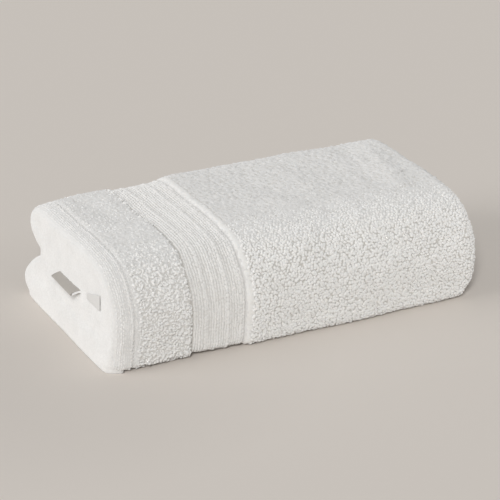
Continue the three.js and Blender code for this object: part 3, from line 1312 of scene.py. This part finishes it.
@dataclass(frozen=True)
class PressedZone:
    """Stretch of the path, on top of the towel, where the pile is pressed and sinks into its skin."""

    start: float
    full: float
    fading: float
    end: float
    shrink: float
    sink: float

    def share(self, path: np.ndarray) -> np.ndarray:
        """How far the pile is pressed, from 0 to 1."""
        return smoothstep(path, self.start, self.full) * (1 - smoothstep(path, self.fading, self.end))


@dataclass
class Skin:
    """Pressed pile as one soft closed skin on a face, whose edges sink into the cloth."""

    face: Face
    ways: Span
    paths: Span
    rise: float = 0.35
    sink: float = 0.9
    thickness: float = 0.2
    side_ease: float = 3.0
    end_ease: float = 3.0
    step: float = 1.5

    def carrier(self, name: str, layout: Layout) -> bpy.types.Mesh:
        """Makes the smooth skin.

        Args:
            name: Name of the mesh.
            layout: Where the towel lies.

        Returns:
            A closed mesh, with its outer side over the cloth and its inner side in it.
        """
        columns, rows = (int((high - low) / self.step) + 1 for low, high in (self.ways, self.paths))
        way = np.tile(np.linspace(*self.ways, columns), rows)
        path = np.repeat(np.linspace(*self.paths, rows), columns)
        from_side = np.minimum(way - self.ways[0], self.ways[1] - way)
        from_end = np.minimum(path - self.paths[0], self.paths[1] - path)
        full = smoothstep(from_side, 0, self.side_ease) * smoothstep(from_end, 0, self.end_ease)
        points, up, _ = self.face.frames(way, path)
        outside = points + up * (full * (self.rise + self.sink) - self.sink)[:, None]
        inside = (points - up * (self.sink + self.thickness)).reshape(rows, columns, 3)[:, ::-1]
        loops = np.concatenate([outside.reshape(rows, columns, 3), inside], axis=1).reshape(-1, 3)
        return layout.mesh(name, loops, lofted_faces(rows, 2 * columns))


@dataclass
class EndPlush:
    """Plush at the hemmed end, which closes over the rolls and the gaps between them as one soft face.

    Heights are measured from a level that lies depth inside the mean end of the cloth. The face comes
    out of the cloth between the two distances in emerging, and closes gaps up to twice as wide as
    closing.
    """

    cloth: bpy.types.Object
    step: float = 1.3
    depth: float = 9.0
    rise: float = 0.6
    sink: float = 1.4
    emerging: Span = (6.0, 2.6)
    closing: float = 3.9
    softenings: int = 2
    wall: float = 2.6
    margin: float = 2.6
    lowest: float = 0.1
    faintest: float = 0.5

    def heights(self, layout: Layout, y: np.ndarray, z: np.ndarray) -> np.ndarray:
        """How far the cloth stands out over the deepest level.

        Args:
            layout: Where the towel lies.
            y: Places across the fold, in the towel's layout.
            z: Heights.

        Returns:
            One row for each y and one column for each z, 0 beside the cloth.
        """
        mesh = self.cloth.data
        points = np.empty(len(mesh.vertices) * 3, np.float32)
        mesh.vertices.foreach_get("co", points)
        points = points.reshape(-1, 3) / MM - np.array(layout.shift)
        corners = np.empty(len(mesh.loops), np.int32)
        mesh.loops.foreach_get("vertex_index", corners)
        corners = corners.reshape(-1, 4)
        near = points[corners, 0].max(axis=1) < self.depth * 3
        tree = BVHTree.FromPolygons(points.tolist(), corners[near].tolist())
        start, towards = -4 * self.depth, Vector((1, 0, 0))
        heights = np.zeros((len(y), len(z)))
        for i, j in np.ndindex(heights.shape):
            hit = tree.ray_cast(Vector((start, y[i], z[j])), towards)[0]
            if hit is not None:
                heights[i, j] = max(self.depth - hit.x, 0.0)
        return heights

    def filtered(self, heights: np.ndarray, reach: int, pick: Callable) -> np.ndarray:
        """Highest, lowest or mean height near each spot.

        Args:
            heights: The heights.
            reach: How many steps away a height still counts.
            pick: Function that takes one height of all.

        Returns:
            The new heights.
        """
        for axis in (0, 1):
            padded = np.pad(heights, [(reach, reach) if k == axis else (0, 0) for k in (0, 1)], mode="edge")
            size = heights.shape[axis]
            windows = [padded.take(range(k, k + size), axis) for k in range(2 * reach + 1)]
            heights = pick(windows, axis=0)
        return heights

    def carrier(self, name: str, layout: Layout) -> bpy.types.Mesh:
        """Makes the smooth face.

        Args:
            name: Name of the mesh.
            layout: Where the towel lies.

        Returns:
            A closed mesh whose edge sinks into the rim of the hem.
        """
        low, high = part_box("towel")
        y = np.arange(low.y / MM - self.margin, high.y / MM + self.margin, self.step) - layout.shift[1]
        z = np.arange(self.lowest, high.z / MM + self.margin, self.step)
        reach = round(self.closing / self.step)
        heights = self.filtered(self.filtered(self.heights(layout, y, z), reach, np.max), reach, np.min)
        soft = heights
        for _ in range(self.softenings):
            soft = self.filtered(soft, 1, np.mean)
        low_side = np.minimum(soft, heights)
        out = smoothstep(low_side, self.depth - self.emerging[0], self.depth - self.emerging[1])
        front = self.depth + self.sink - out * (soft + self.rise + self.sink) - (1 - out) * low_side
        whole, level = np.meshgrid(y, z, indexing="ij")
        outside = np.stack([front, whole, level], axis=2).reshape(-1, 3)
        ids = np.arange(len(outside)).reshape(heights.shape)
        quads = np.stack([ids[:-1, :-1], ids[:-1, 1:], ids[1:, 1:], ids[1:, :-1]], axis=2).reshape(-1, 4)
        quads = quads[(heights.ravel()[quads] > self.faintest).all(axis=1)]
        sides = np.concatenate([quads[:, [k, (k + 1) % 4]] for k in range(4)])
        shared = {tuple(side) for side in sides.tolist()}
        rim = np.array([side for side in sides.tolist() if (side[1], side[0]) not in shared])
        count = len(outside)
        walls = np.stack([rim[:, 1], rim[:, 0], rim[:, 0] + count, rim[:, 1] + count], axis=1)
        faces = np.vstack([quads, quads[:, ::-1] + count, walls])
        used, renumbered = np.unique(faces, return_inverse=True)
        points = np.vstack([outside, outside + (self.wall, 0, 0)])[used]
        return layout.mesh(name, points, renumbered.reshape(-1, 4))


@dataclass
class PressedPile(Growth):
    """Pile that is pressed flat, as a skin roughened all over."""

    def tree(self) -> GrowthTree:
        """Builds the tree that roughens a skin.

        Returns:
            The finished tree.
        """
        tree = self.start()
        tree.end(tree.carrier)
        return tree


@dataclass
class Lattice:
    """Spots of pile on a face, every second row moved by half a step and all a little out of line."""

    face: Face
    ways: Span
    paths: Span
    steps: Span
    jitter: float = 0.3
    lift: float = 0.1
    pressed: PressedZone | None = None
    size_range: Span = (0.85, 1.12)
    seed: int = 11

    def carrier(self, name: str, layout: Layout) -> bpy.types.Mesh:
        """Makes the mesh of spots, with its outward directions and sizes.

        Args:
            name: Name of the mesh.
            layout: Where the towel lies.

        Returns:
            A mesh of loose points.
        """
        spans = zip((self.ways, self.paths), self.steps)
        columns, rows = (max(round((high - low) / step), 1) for (low, high), step in spans)
        i, j = np.meshgrid(np.arange(columns), np.arange(rows), indexing="ij")
        i, j = i.ravel(), j.ravel()
        rng = np.random.default_rng(self.seed)
        shake = rng.uniform(-self.jitter, self.jitter, (2, len(i)))
        share_way = (i + 0.5 + 0.5 * (j % 2) - 0.25 + shake[0]) / columns
        share_path = (j + 0.5 + shake[1]) / rows
        way = self.ways[0] + share_way * (self.ways[1] - self.ways[0])
        path = self.paths[0] + share_path * (self.paths[1] - self.paths[0])
        points, up, along = self.face.frames(way, path)
        sizes, lifts = rng.uniform(*self.size_range, len(i)), np.full(len(i), self.lift)
        if self.pressed is not None:
            share = self.pressed.share(path)
            sizes, lifts = sizes * (1 - self.pressed.shrink * share), lifts - self.pressed.sink * share
        mesh = layout.mesh(name, points + up * lifts[:, None], np.zeros((0, 3)))
        for attribute, vectors in {"up": up, "along": along}.items():
            data = mesh.attributes.new(attribute, "FLOAT_VECTOR", "POINT").data
            data.foreach_set("vector", vectors.astype(np.float32).ravel())
        mesh.attributes.new("size", "FLOAT", "POINT").data.foreach_set("value", sizes.astype(np.float32))
        return mesh


@dataclass(frozen=True)
class RibRow:
    """One rib of the weave: its way along the face, its radius and how far it stands out."""

    way: float
    radius: float
    lift: float


@dataclass
class Ribs(Growth):
    """Ribs of a flat weave, each a slim cord that follows the book section."""

    name: str = "ribs"
    wobble: float = 1.4
    wobble_size: float = 3.0
    rows: tuple[RibRow, ...] = ()
    paths: tuple[Span, ...] = ()
    step: float = 1.3
    sides: int = 5
    dash: float = 0.3
    dash_length: float = 3.8
    uneven: float = 0.25
    spread: float = 0.18
    drift: float = 0.35
    drift_length: float = 6.5
    drift_rates: Span = (1.0, 2.7)
    seed: int = 7

    NUMBERS = ("sides",)

    def tree(self) -> GrowthTree:
        """Builds the tree that turns lines into ribs.

        Returns:
            The finished tree.
        """
        tree = self.start()
        line = tree.add("GeometryNodeMeshToCurve", {}, {"Mesh": tree.carrier})[0]
        ring = {"Resolution": tree.inputs["Sides"], "Radius": 1.0}
        profile = tree.add("GeometryNodeCurvePrimitiveCircle", {"mode": "RADIUS"}, ring)[0]
        girth = tree.attribute("girth", "FLOAT")
        tube = {"Curve": line, "Profile Curve": profile, "Scale": girth, "Fill Caps": True}
        cords = tree.add("GeometryNodeCurveToMesh", {}, tube)[0]
        tree.end(tree.add("GeometryNodeRealizeInstances", {}, {"Geometry": cords})[0])
        return tree

    def carrier(self, name: str, face: Face, layout: Layout) -> bpy.types.Mesh:
        """Makes the mesh of lines.

        Args:
            name: Name of the mesh.
            face: Face that the ribs lie on.
            layout: Where the towel lies.

        Returns:
            A mesh of loose edges with the ribs' radii.
        """
        points, edges, girths, count = [], [], [], 0
        rng = np.random.default_rng(self.seed)
        for low, high in self.paths:
            path = np.linspace(low, high, int((high - low) / self.step) + 1)
            for row in self.rows:
                phases = rng.uniform(0, math.tau, 3)
                turns = path / self.drift_length
                slow, fast = (np.sin(turns * rate + phase) for rate, phase in zip(self.drift_rates, phases))
                way = np.clip(row.way + self.drift * (slow + fast) / 2, 0, face.ways[-1])
                spots, up, _ = face.frames(way, path)
                points.append(spots + up * (row.lift - row.radius))
                dashes = self.dash * np.sin(math.tau * path / self.dash_length + phases[2])
                factors = 1 + dashes + rng.uniform(-self.uneven, self.uneven, len(path))
                radius = row.radius * rng.uniform(1 - self.spread, 1 + self.spread) * MM
                girths.append((radius * factors).astype(np.float32))
                ids = np.arange(count, count + len(path))
                edges.append(np.stack([ids[:-1], ids[1:]], axis=1))
                count += len(path)
        mesh = layout.mesh(name, np.vstack(points), np.zeros((0, 3)), np.vstack(edges))
        mesh.attributes.new("girth", "FLOAT", "POINT").data.foreach_set("value", np.concatenate(girths))
        return mesh


@dataclass
class FoldedLabel:
    """A ribbon folded in two, with its fold outwards, that is sewn in at the hem.

    It is drawn in x and z and carried along its width, from y = start. The gape opens its front end,
    slope and droop raise it inwards and hang its fold, and skew draws the fold's front corner back. A
    ribbon with a bend angle turns up outside the cloth, and taper shortens it towards the back.
    """

    name: str
    start: float
    width: float
    seat: float
    root: float
    reach: float
    ply: float
    slit: float
    gape: float
    droop: float
    slope: float
    sway: float
    skew: float
    taper: float = 0.0
    sway_turn: float = 4.3
    sway_phase: float = 0.8
    bend_angle: float = 0.0
    bend_start: float = -0.2
    bend_radius: float = 0.8
    stations: int = 24
    run_steps: int = 9
    turn_steps: int = 8

    def outline(self, share: float) -> np.ndarray:
        """Outline of the folded ribbon at one place of its width.

        Args:
            share: The place, from 0 at the front to 1 at the back.

        Returns:
            One row of x and z for each point.
        """
        radius = (self.slit + self.gape * (1 - share) ** 3 + self.ply) / 2
        reach = self.reach * (1 - self.taper * share)
        sway = self.sway * math.sin(self.sway_turn * share + self.sway_phase)
        fold = radius + self.ply / 2 - reach - sway
        run = np.linspace(self.root, fold, self.run_steps, endpoint=False)
        angles = np.linspace(math.pi / 2, -math.pi / 2, self.turn_steps)
        middle = np.vstack([
            np.stack([run, np.full_like(run, radius)], axis=1),
            np.stack([fold - radius * np.cos(angles), radius * np.sin(angles)], axis=1),
            np.stack([run[::-1], np.full_like(run, -radius)], axis=1),
        ])
        outwards = np.vstack([
            np.tile((0.0, 1.0), (len(run), 1)),
            np.stack([-np.cos(angles), np.sin(angles)], axis=1),
            np.tile((0.0, -1.0), (len(run), 1)),
        ])
        half = outwards * self.ply / 2
        return np.vstack([middle + half, (middle - half)[::-1]])

    def bent(self, x: np.ndarray, z: np.ndarray) -> tuple[np.ndarray, np.ndarray]:
        """Turns the outer part of the outline upwards.

        Args:
            x: Places along the flat ribbon.
            z: Heights from its middle.

        Returns:
            Both, bent.
        """
        turn = np.clip((-x - self.bend_start) / self.bend_radius, 0, self.bend_angle)
        straight = -x - self.bend_start - turn * self.bend_radius
        out = self.bend_start + (self.bend_radius - z) * np.sin(turn) + straight * np.cos(turn)
        return -out, self.bend_radius - (self.bend_radius - z) * np.cos(turn) + straight * np.sin(turn)

    def build(
        self, layout: Layout, slot: Slot, finish: RibbonFinish, node: str | None = None
    ) -> bpy.types.Object:
        """Carries the outline along the ribbon's width.

        Args:
            layout: Where the towel lies.
            slot: Material slot of the record; not used.
            finish: Finish of the ribbon.
            node: CAD node that it stands for, or None.

        Returns:
            The label.
        """
        points = []
        for share in np.linspace(0, 1, self.stations):
            x, z = self.outline(share).T
            out = np.clip(-x / self.reach, 0, 1)
            x, z = self.bent(x, z)
            z = z + self.seat + self.slope * np.maximum(x, 0) - self.droop * out ** 2
            y = self.start + self.width * share + self.skew * (1 - share) * out
            points.append(np.stack([x, y, z], axis=1))
        mesh = layout.mesh(self.name, np.vstack(points), lofted_faces(self.stations, len(points[0])))
        return dress(new_object(self.name, mesh, finish.material()), node)


@dataclass
class Studio:
    """Camera, soft light and pale floor."""

    azimuth: float = -26.4
    elevation: float = 24.5
    distance: float = 2.2491
    target: Vector3 = (0.0110, 0.0126, 0.0352)
    lens: float = 179.93
    sensor: float = 36.0
    clip: Span = (0.05, 50.0)
    floor_size: float = 12.0
    world: Vector3 = (1.0, 0.99, 0.975)
    world_strength: float = 0.26
    key_towards: Vector3 = (-0.92, 0.1, 0.36)
    key_strength: float = 1.06
    key_angle: float = 36.0
    fill_towards: Vector3 = (-0.42, -0.68, 0.6)
    fill_strength: float = 1.6
    fill_angle: float = 14.0

    def camera(self) -> None:
        """Adds the camera at the photograph's angle."""
        azimuth, elevation = math.radians(self.azimuth), math.radians(self.elevation)
        level = math.cos(elevation)
        away = Vector((math.sin(azimuth) * level, -math.cos(azimuth) * level, math.sin(elevation)))
        data = bpy.data.cameras.new("camera")
        data.lens, data.sensor_width = self.lens, self.sensor
        data.clip_start, data.clip_end = self.clip
        camera = bpy.data.objects.new("camera", data)
        camera.location = Vector(self.target) + away * self.distance
        camera.rotation_euler = (-away).to_track_quat("-Z", "Y").to_euler()
        bpy.context.scene.collection.objects.link(camera)
        bpy.context.scene.camera = camera

    def light(self, name: str, towards: Vector3, strength: float, angle: float) -> None:
        """Adds a broad soft light from far away.

        Args:
            name: Name of the light.
            towards: Direction in which the light lies.
            strength: Its strength.
            angle: How wide it looks, in degrees.
        """
        data = bpy.data.lights.new(name, "SUN")
        data.energy, data.angle = strength, math.radians(angle)
        light = bpy.data.objects.new(name, data)
        light.rotation_euler = Vector(towards).to_track_quat("Z", "Y").to_euler()
        bpy.context.scene.collection.objects.link(light)

    def build(self) -> None:
        """Adds camera, lights, surroundings and floor."""
        self.camera()
        self.light("key", self.key_towards, self.key_strength, self.key_angle)
        self.light("fill", self.fill_towards, self.fill_strength, self.fill_angle)
        world = bpy.data.worlds.new("studio")
        world.use_nodes = True
        background = world.node_tree.nodes["Background"]
        background.inputs["Color"].default_value = (*self.world, 1.0)
        background.inputs["Strength"].default_value = self.world_strength
        bpy.context.scene.world = world
        bpy.context.scene.view_settings.view_transform = "Standard"
        half = self.floor_size / 2
        mesh = bpy.data.meshes.new("floor")
        corners = [(-half, -half, 0), (half, -half, 0), (half, half, 0), (-half, half, 0)]
        mesh.from_pydata(corners, [], [(0, 1, 2, 3)])
        new_object("floor", mesh, FloorFinish().material())


@dataclass
class Towel:
    """The folded towel with everything that grows on it or is sewn to it.

    The zones of the cloth are given by where they start and end along the fold. Steps are those along
    the fold and round the section. Reaches, fades and starts are lengths round the section, from the
    crown of the upper roll or from the edge where the top turns into the book fold. A skin's end is
    given past the run along the fold and past that edge. A press holds where it starts to fade before
    the edge, the share of its size that the pile loses and how far it sinks.
    """

    layout: Layout
    form: FoldedForm
    hem: Span = (0.2, 17.8)
    groove: Span = (17.0, 20.6)
    hem_strip: Span = (20.0, 24.2)
    terry: Span = (23.2, 71.7)
    border: Span = (72.0, 121.0)
    strip: Span = (121.8, 131.4)
    body_start: float = 128.8
    front_steps: Span = (2.8, 2.5)
    plush_steps: Span = (2.9, 2.6)
    loop_steps: Span = (2.6, 2.5)
    stitch_steps: Span = (1.9, 3.4)
    rim_width: float = 2.6
    edge_reach: float = 18.0
    top_reach: Span = (10.0, -40.0)
    crown_fade: Span = (-8.0, 10.0)
    edge_fade: float = 46.0
    nub_press: Vector3 = (44.0, 0.45, 0.9)
    loop_press: Vector3 = (30.0, 0.2, 0.45)
    band_lift: float = -0.65
    rim_lift: float = -0.45
    loop_jitter: float = 0.35
    stitch_jitter: float = 0.1
    skin_start: float = -15.0
    body_skin_end: Span = (8.0, 36.0)
    terry_skin_end: Span = (-0.6, 32.0)
    weave_reach: Span = (20.0, 8.0)
    border_cords: tuple[float, ...] = (85.0, 106.0, 118.0)
    border_cord: RibRow = RibRow(0.0, 1.7, 0.95)
    border_rib: RibRow = RibRow(2.8, 1.1, 0.65)
    border_pitch: float = 2.4
    hem_rib: RibRow = RibRow(3.0, 1.0, 0.4)
    hem_pitch: float = 1.9
    hem_slope: float = 0.05
    strip_ribs: tuple[RibRow, ...] = (RibRow(0.9, 1.3, 0.1), RibRow(2.4, 1.5, 0.4), RibRow(3.9, 1.4, 0.3))
    ground_tones: tuple[Vector3, Vector3] = ((0.84, 0.832, 0.82), (0.74, 0.73, 0.715))
    weave_tones: tuple[Vector3, Vector3] = ((0.92, 0.91, 0.895), (0.76, 0.75, 0.73))
    # Darker copy of the cotton for the pressed skins, which paints the shade that the pile's own loops cast
    pressed_tones: tuple[Vector3, Vector3] = ((0.86, 0.852, 0.84), (0.68, 0.672, 0.655))
    strip_tones: tuple[Vector3, Vector3] = ((0.93, 0.922, 0.905), (0.79, 0.778, 0.755))

    def __post_init__(self) -> None:
        """Builds the cloth and the finishes, and measures the stretches round the section."""
        path = self.form.path_of
        # The ground finish paints shade into the cloth under the pile, by its cover attribute
        self.cloth = Cloth(self.form, CottonFinish("terry_ground", *self.ground_tones))
        self.sheet = self.cloth.build(self.layout)
        self.body = Face.outside(self.cloth, self.body_start)
        self.run = self.body.way_of(self.cloth.turn_centre[0])
        self.crown = path("upper roll, upper side")
        self.edge = path("top, front") + self.edge_reach
        self.top = (self.crown + self.top_reach[0], self.edge + self.top_reach[1])
        self.upper = (path("notch, upper side"), path("bottom, front"))
        self.lower = (path("bottom, back"), path("notch, lower side"))
        hidden, below = self.weave_reach
        self.woven = (
            (self.upper[0] - hidden, self.upper[1] + below),
            (self.lower[0] - below, self.lower[1] + hidden),
        )
        self.pile_finish = CottonFinish("terry_pile").material()
        self.weave_finish = CottonFinish("flat_weave", *self.weave_tones).material()
        self.grown: list[bpy.types.Object] = []

    def face(self, zone: Span) -> Face:
        """Outer face of a zone of the cloth."""
        return Face.outside(self.cloth, *zone)

    def soft_finish(self, name: str, tones: tuple[Vector3, Vector3]) -> bpy.types.Material:
        """Finish of pressed pile, softer and more translucent than that of nubs."""
        return CottonFinish(name, *tones, bump_strength=0.45, glow=0.4, glow_depth=1.2).material()

    def pressed(self, before_edge: float, shrink: float, sink: float) -> PressedZone:
        """Zone on the towel's top where the pile is pressed.

        Args:
            before_edge: How far before the edge it starts to fade.
            shrink: Share of its size that the pile loses there.
            sink: How far the pile sinks.

        Returns:
            The zone.
        """
        start, full = (self.crown + reach for reach in self.crown_fade)
        return PressedZone(start, full, self.edge - before_edge, self.edge + self.edge_fade, shrink, sink)

    def grow(self, name: str, tree: GrowthTree, carrier: bpy.types.Mesh) -> None:
        """Grows one piece of pile or weave and ties it to the frame."""
        self.grown.append(dress(tree.grow(name, carrier)))

    def nubs(self) -> None:
        """Grows nubs of pile on the body and round its plush end."""
        tree = GrainPile(self.pile_finish).tree()
        pressed = self.pressed(*self.nub_press)
        run, end = (0.0, self.run), (self.run, self.body.ways[-1])
        regions = {
            "pile_front": (run, (self.top[1], self.upper[1]), self.front_steps, pressed),
            "pile_back": (run, (self.upper[0], self.top[0]), self.plush_steps, pressed),
            "pile_lower_roll": (run, self.lower, self.plush_steps, None),
            "pile_plush_end": (end, (0.0, self.form.path[-1]), self.plush_steps, pressed),
        }
        for name, (ways, paths, steps, zone) in regions.items():
            spots = Lattice(self.body, ways, paths, steps, pressed=zone)
            self.grow(name, tree, spots.carrier(name, self.layout))

    def skins(self) -> None:
        """Lays soft skins of pressed pile on the top, on the hemmed end and beside the border."""
        # The pressed skins' finish paints in the shade of the pile's loops
        soft = self.soft_finish("pressed_pile", self.pressed_tones)
        pale = self.soft_finish("strip_pile", self.strip_tones)
        bumpy = PressedPile(pale, "bumpy_skin", wobble=2.6, wobble_size=2.6)
        fine = PressedPile(soft, "fine_skin", wobble=4.2, wobble_size=2.2)
        coarse = PressedPile(soft, "coarse_skin", wobble=3.4, wobble_size=2.2)
        smooth = PressedPile(soft, "smooth_skin", wobble=1.0, wobble_size=3.2)
        terry, strip = self.face(self.terry), self.face(self.strip)
        start = self.crown + self.skin_start
        (body_way, body_path), (terry_way, terry_path) = self.body_skin_end, self.terry_skin_end
        body_top = Skin(
            self.body, (0, self.run + body_way), (start, self.edge + body_path), end_ease=18, step=1.3
        )
        terry_top = Skin(
            terry, (0, terry.ways[-1] + terry_way), (start, self.edge + terry_path),
            rise=0.3, side_ease=1.5, end_ease=14, step=1.2,
        )
        whole = (0, strip.ways[-1])
        strips = [Skin(strip, whole, paths, side_ease=2.6) for paths in (self.upper, self.lower)]
        skins = {
            "pile_top": (fine, body_top),
            "terry_band_top": (coarse, terry_top),
            "pile_hemmed_end": (smooth, EndPlush(self.sheet)),
            "border_strip": (bumpy, strips[0]),
            "border_strip_lower_roll": (bumpy, strips[1]),
        }
        for name, (pile, skin) in skins.items():
            self.grow(name, pile.tree(), skin.carrier(name, self.layout))

    def loops(self) -> None:
        """Grows loops on the plain terry band, and along its rim where its top is pressed."""
        tree = LoopPile(self.pile_finish).tree()
        terry = self.face(self.terry)
        end = terry.ways[-1]
        pressed = self.pressed(*self.loop_press)
        bands = {
            "terry_band": ((0, end), self.upper, self.band_lift, pressed),
            "terry_band_rim": ((end - self.rim_width, end), self.top, self.rim_lift, None),
            "terry_band_lower_roll": ((0, end), self.lower, self.band_lift, None),
        }
        for name, (ways, paths, lift, zone) in bands.items():
            spots = Lattice(terry, ways, paths, self.loop_steps, self.loop_jitter, lift, zone)
            self.grow(name, tree, spots.carrier(name, self.layout))

    def weaves(self) -> None:
        """Lays the ribs of the border, of the hem and of the strip beside the hem."""
        border, hem = self.face(self.border), self.face(self.hem)
        cords = [border.way_of(x) for x in self.border_cords]
        ways = np.arange(self.border_rib.way, border.ways[-1], self.border_pitch)
        plain = [way for way in ways if min(abs(way - cord) for cord in cords) > self.border_pitch / 2]
        border_rows = [replace(self.border_rib, way=way) for way in plain]
        border_rows += [replace(self.border_cord, way=cord) for cord in cords]
        hem_rows = [
            replace(self.hem_rib, way=way, lift=min(self.hem_rib.lift, self.hem_slope * way))
            for way in np.arange(self.hem_rib.way, hem.ways[-1], self.hem_pitch)
        ]
        weaves = {
            "border_ribs": (border, border_rows),
            "hem_ribs": (hem, hem_rows),
            "hem_strip": (self.face(self.hem_strip), self.strip_ribs),
        }
        for name, (face, rows) in weaves.items():
            ribs = Ribs(self.weave_finish, rows=tuple(rows), paths=self.woven)
            self.grow(name, ribs.tree(), ribs.carrier(name, face, self.layout))

    def sewing(self) -> None:
        """Sews the stitches of the hem in its groove."""
        tree = Stitches(self.weave_finish).tree()
        groove = self.face(self.groove)
        for name, paths in zip(("hem_stitches", "hem_stitches_lower_roll"), self.woven):
            spots = Lattice(groove, (0, groove.ways[-1]), paths, self.stitch_steps, self.stitch_jitter)
            self.grow(name, tree, spots.carrier(name, self.layout))

    def build(self) -> None:
        self.nubs()
        self.skins()
        self.loops()
        self.weaves()
        self.sewing()


@dataclass
class Labels:
    """The grey loop label with its pale lining, and the white care label."""

    layout: Layout
    grey: RibbonFinish = RibbonFinish("grey_satin", (0.52, 0.49, 0.45), (0.4, 0.375, 0.345))
    # White satin darkened for the care label, which paints the shade of the pocket it lies in
    white: RibbonFinish = RibbonFinish("white_satin", (0.84, 0.835, 0.82), (0.74, 0.735, 0.72))
    # White satin lightened for the lining's front end, which paints it as lit
    bright: RibbonFinish = RibbonFinish("bright_satin", (0.96, 0.955, 0.95), (0.9, 0.895, 0.885))

    def build(self) -> None:
        loop = FoldedLabel(
            "loop_label", start=47.2, width=44.8, seat=51.4, root=8.0, reach=LOOP_REACH, ply=0.35,
            slit=0.5, gape=1.2, droop=2.3, slope=0.02, sway=0.15, skew=2.2,
        )
        lining = FoldedLabel(
            "loop_label_lining", start=46.4, width=4.4, seat=51.4, root=8.0, reach=7.2, ply=0.6,
            slit=0.05, gape=0.25, droop=2.2, slope=0.02, sway=0.15, skew=2.0, stations=8,
        )
        care = FoldedLabel(
            "care_ribbon", start=5.0, width=26.0, seat=51.2, root=11.0, reach=15.4, ply=0.3,
            slit=0.05, gape=0.0, droop=0.0, slope=0.25, sway=0.3, skew=-2.0, taper=0.6,
            bend_angle=1.55, run_steps=26,
        )
        loop_piece = loop.build(self.layout, Slot.GREY, self.grey, "woven_loop_label")
        lining_piece = lining.build(self.layout, Slot.WHITE, self.bright)
        care_piece = care.build(self.layout, Slot.WHITE, self.white, "care_label")


def main() -> None:
    """Builds the studio, the towel and its labels."""
    logging.basicConfig(level=logging.INFO, format="%(message)s")
    Studio().build()
    loop_low, loop_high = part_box("woven_loop_label")
    layout = Layout((loop_low.x / MM + LOOP_REACH, loop_high.y / MM - LOOP_END, 0.0))
    Towel(layout, FoldedForm()).build()
    Labels(layout).build()


if __name__ == "__main__":
    main()
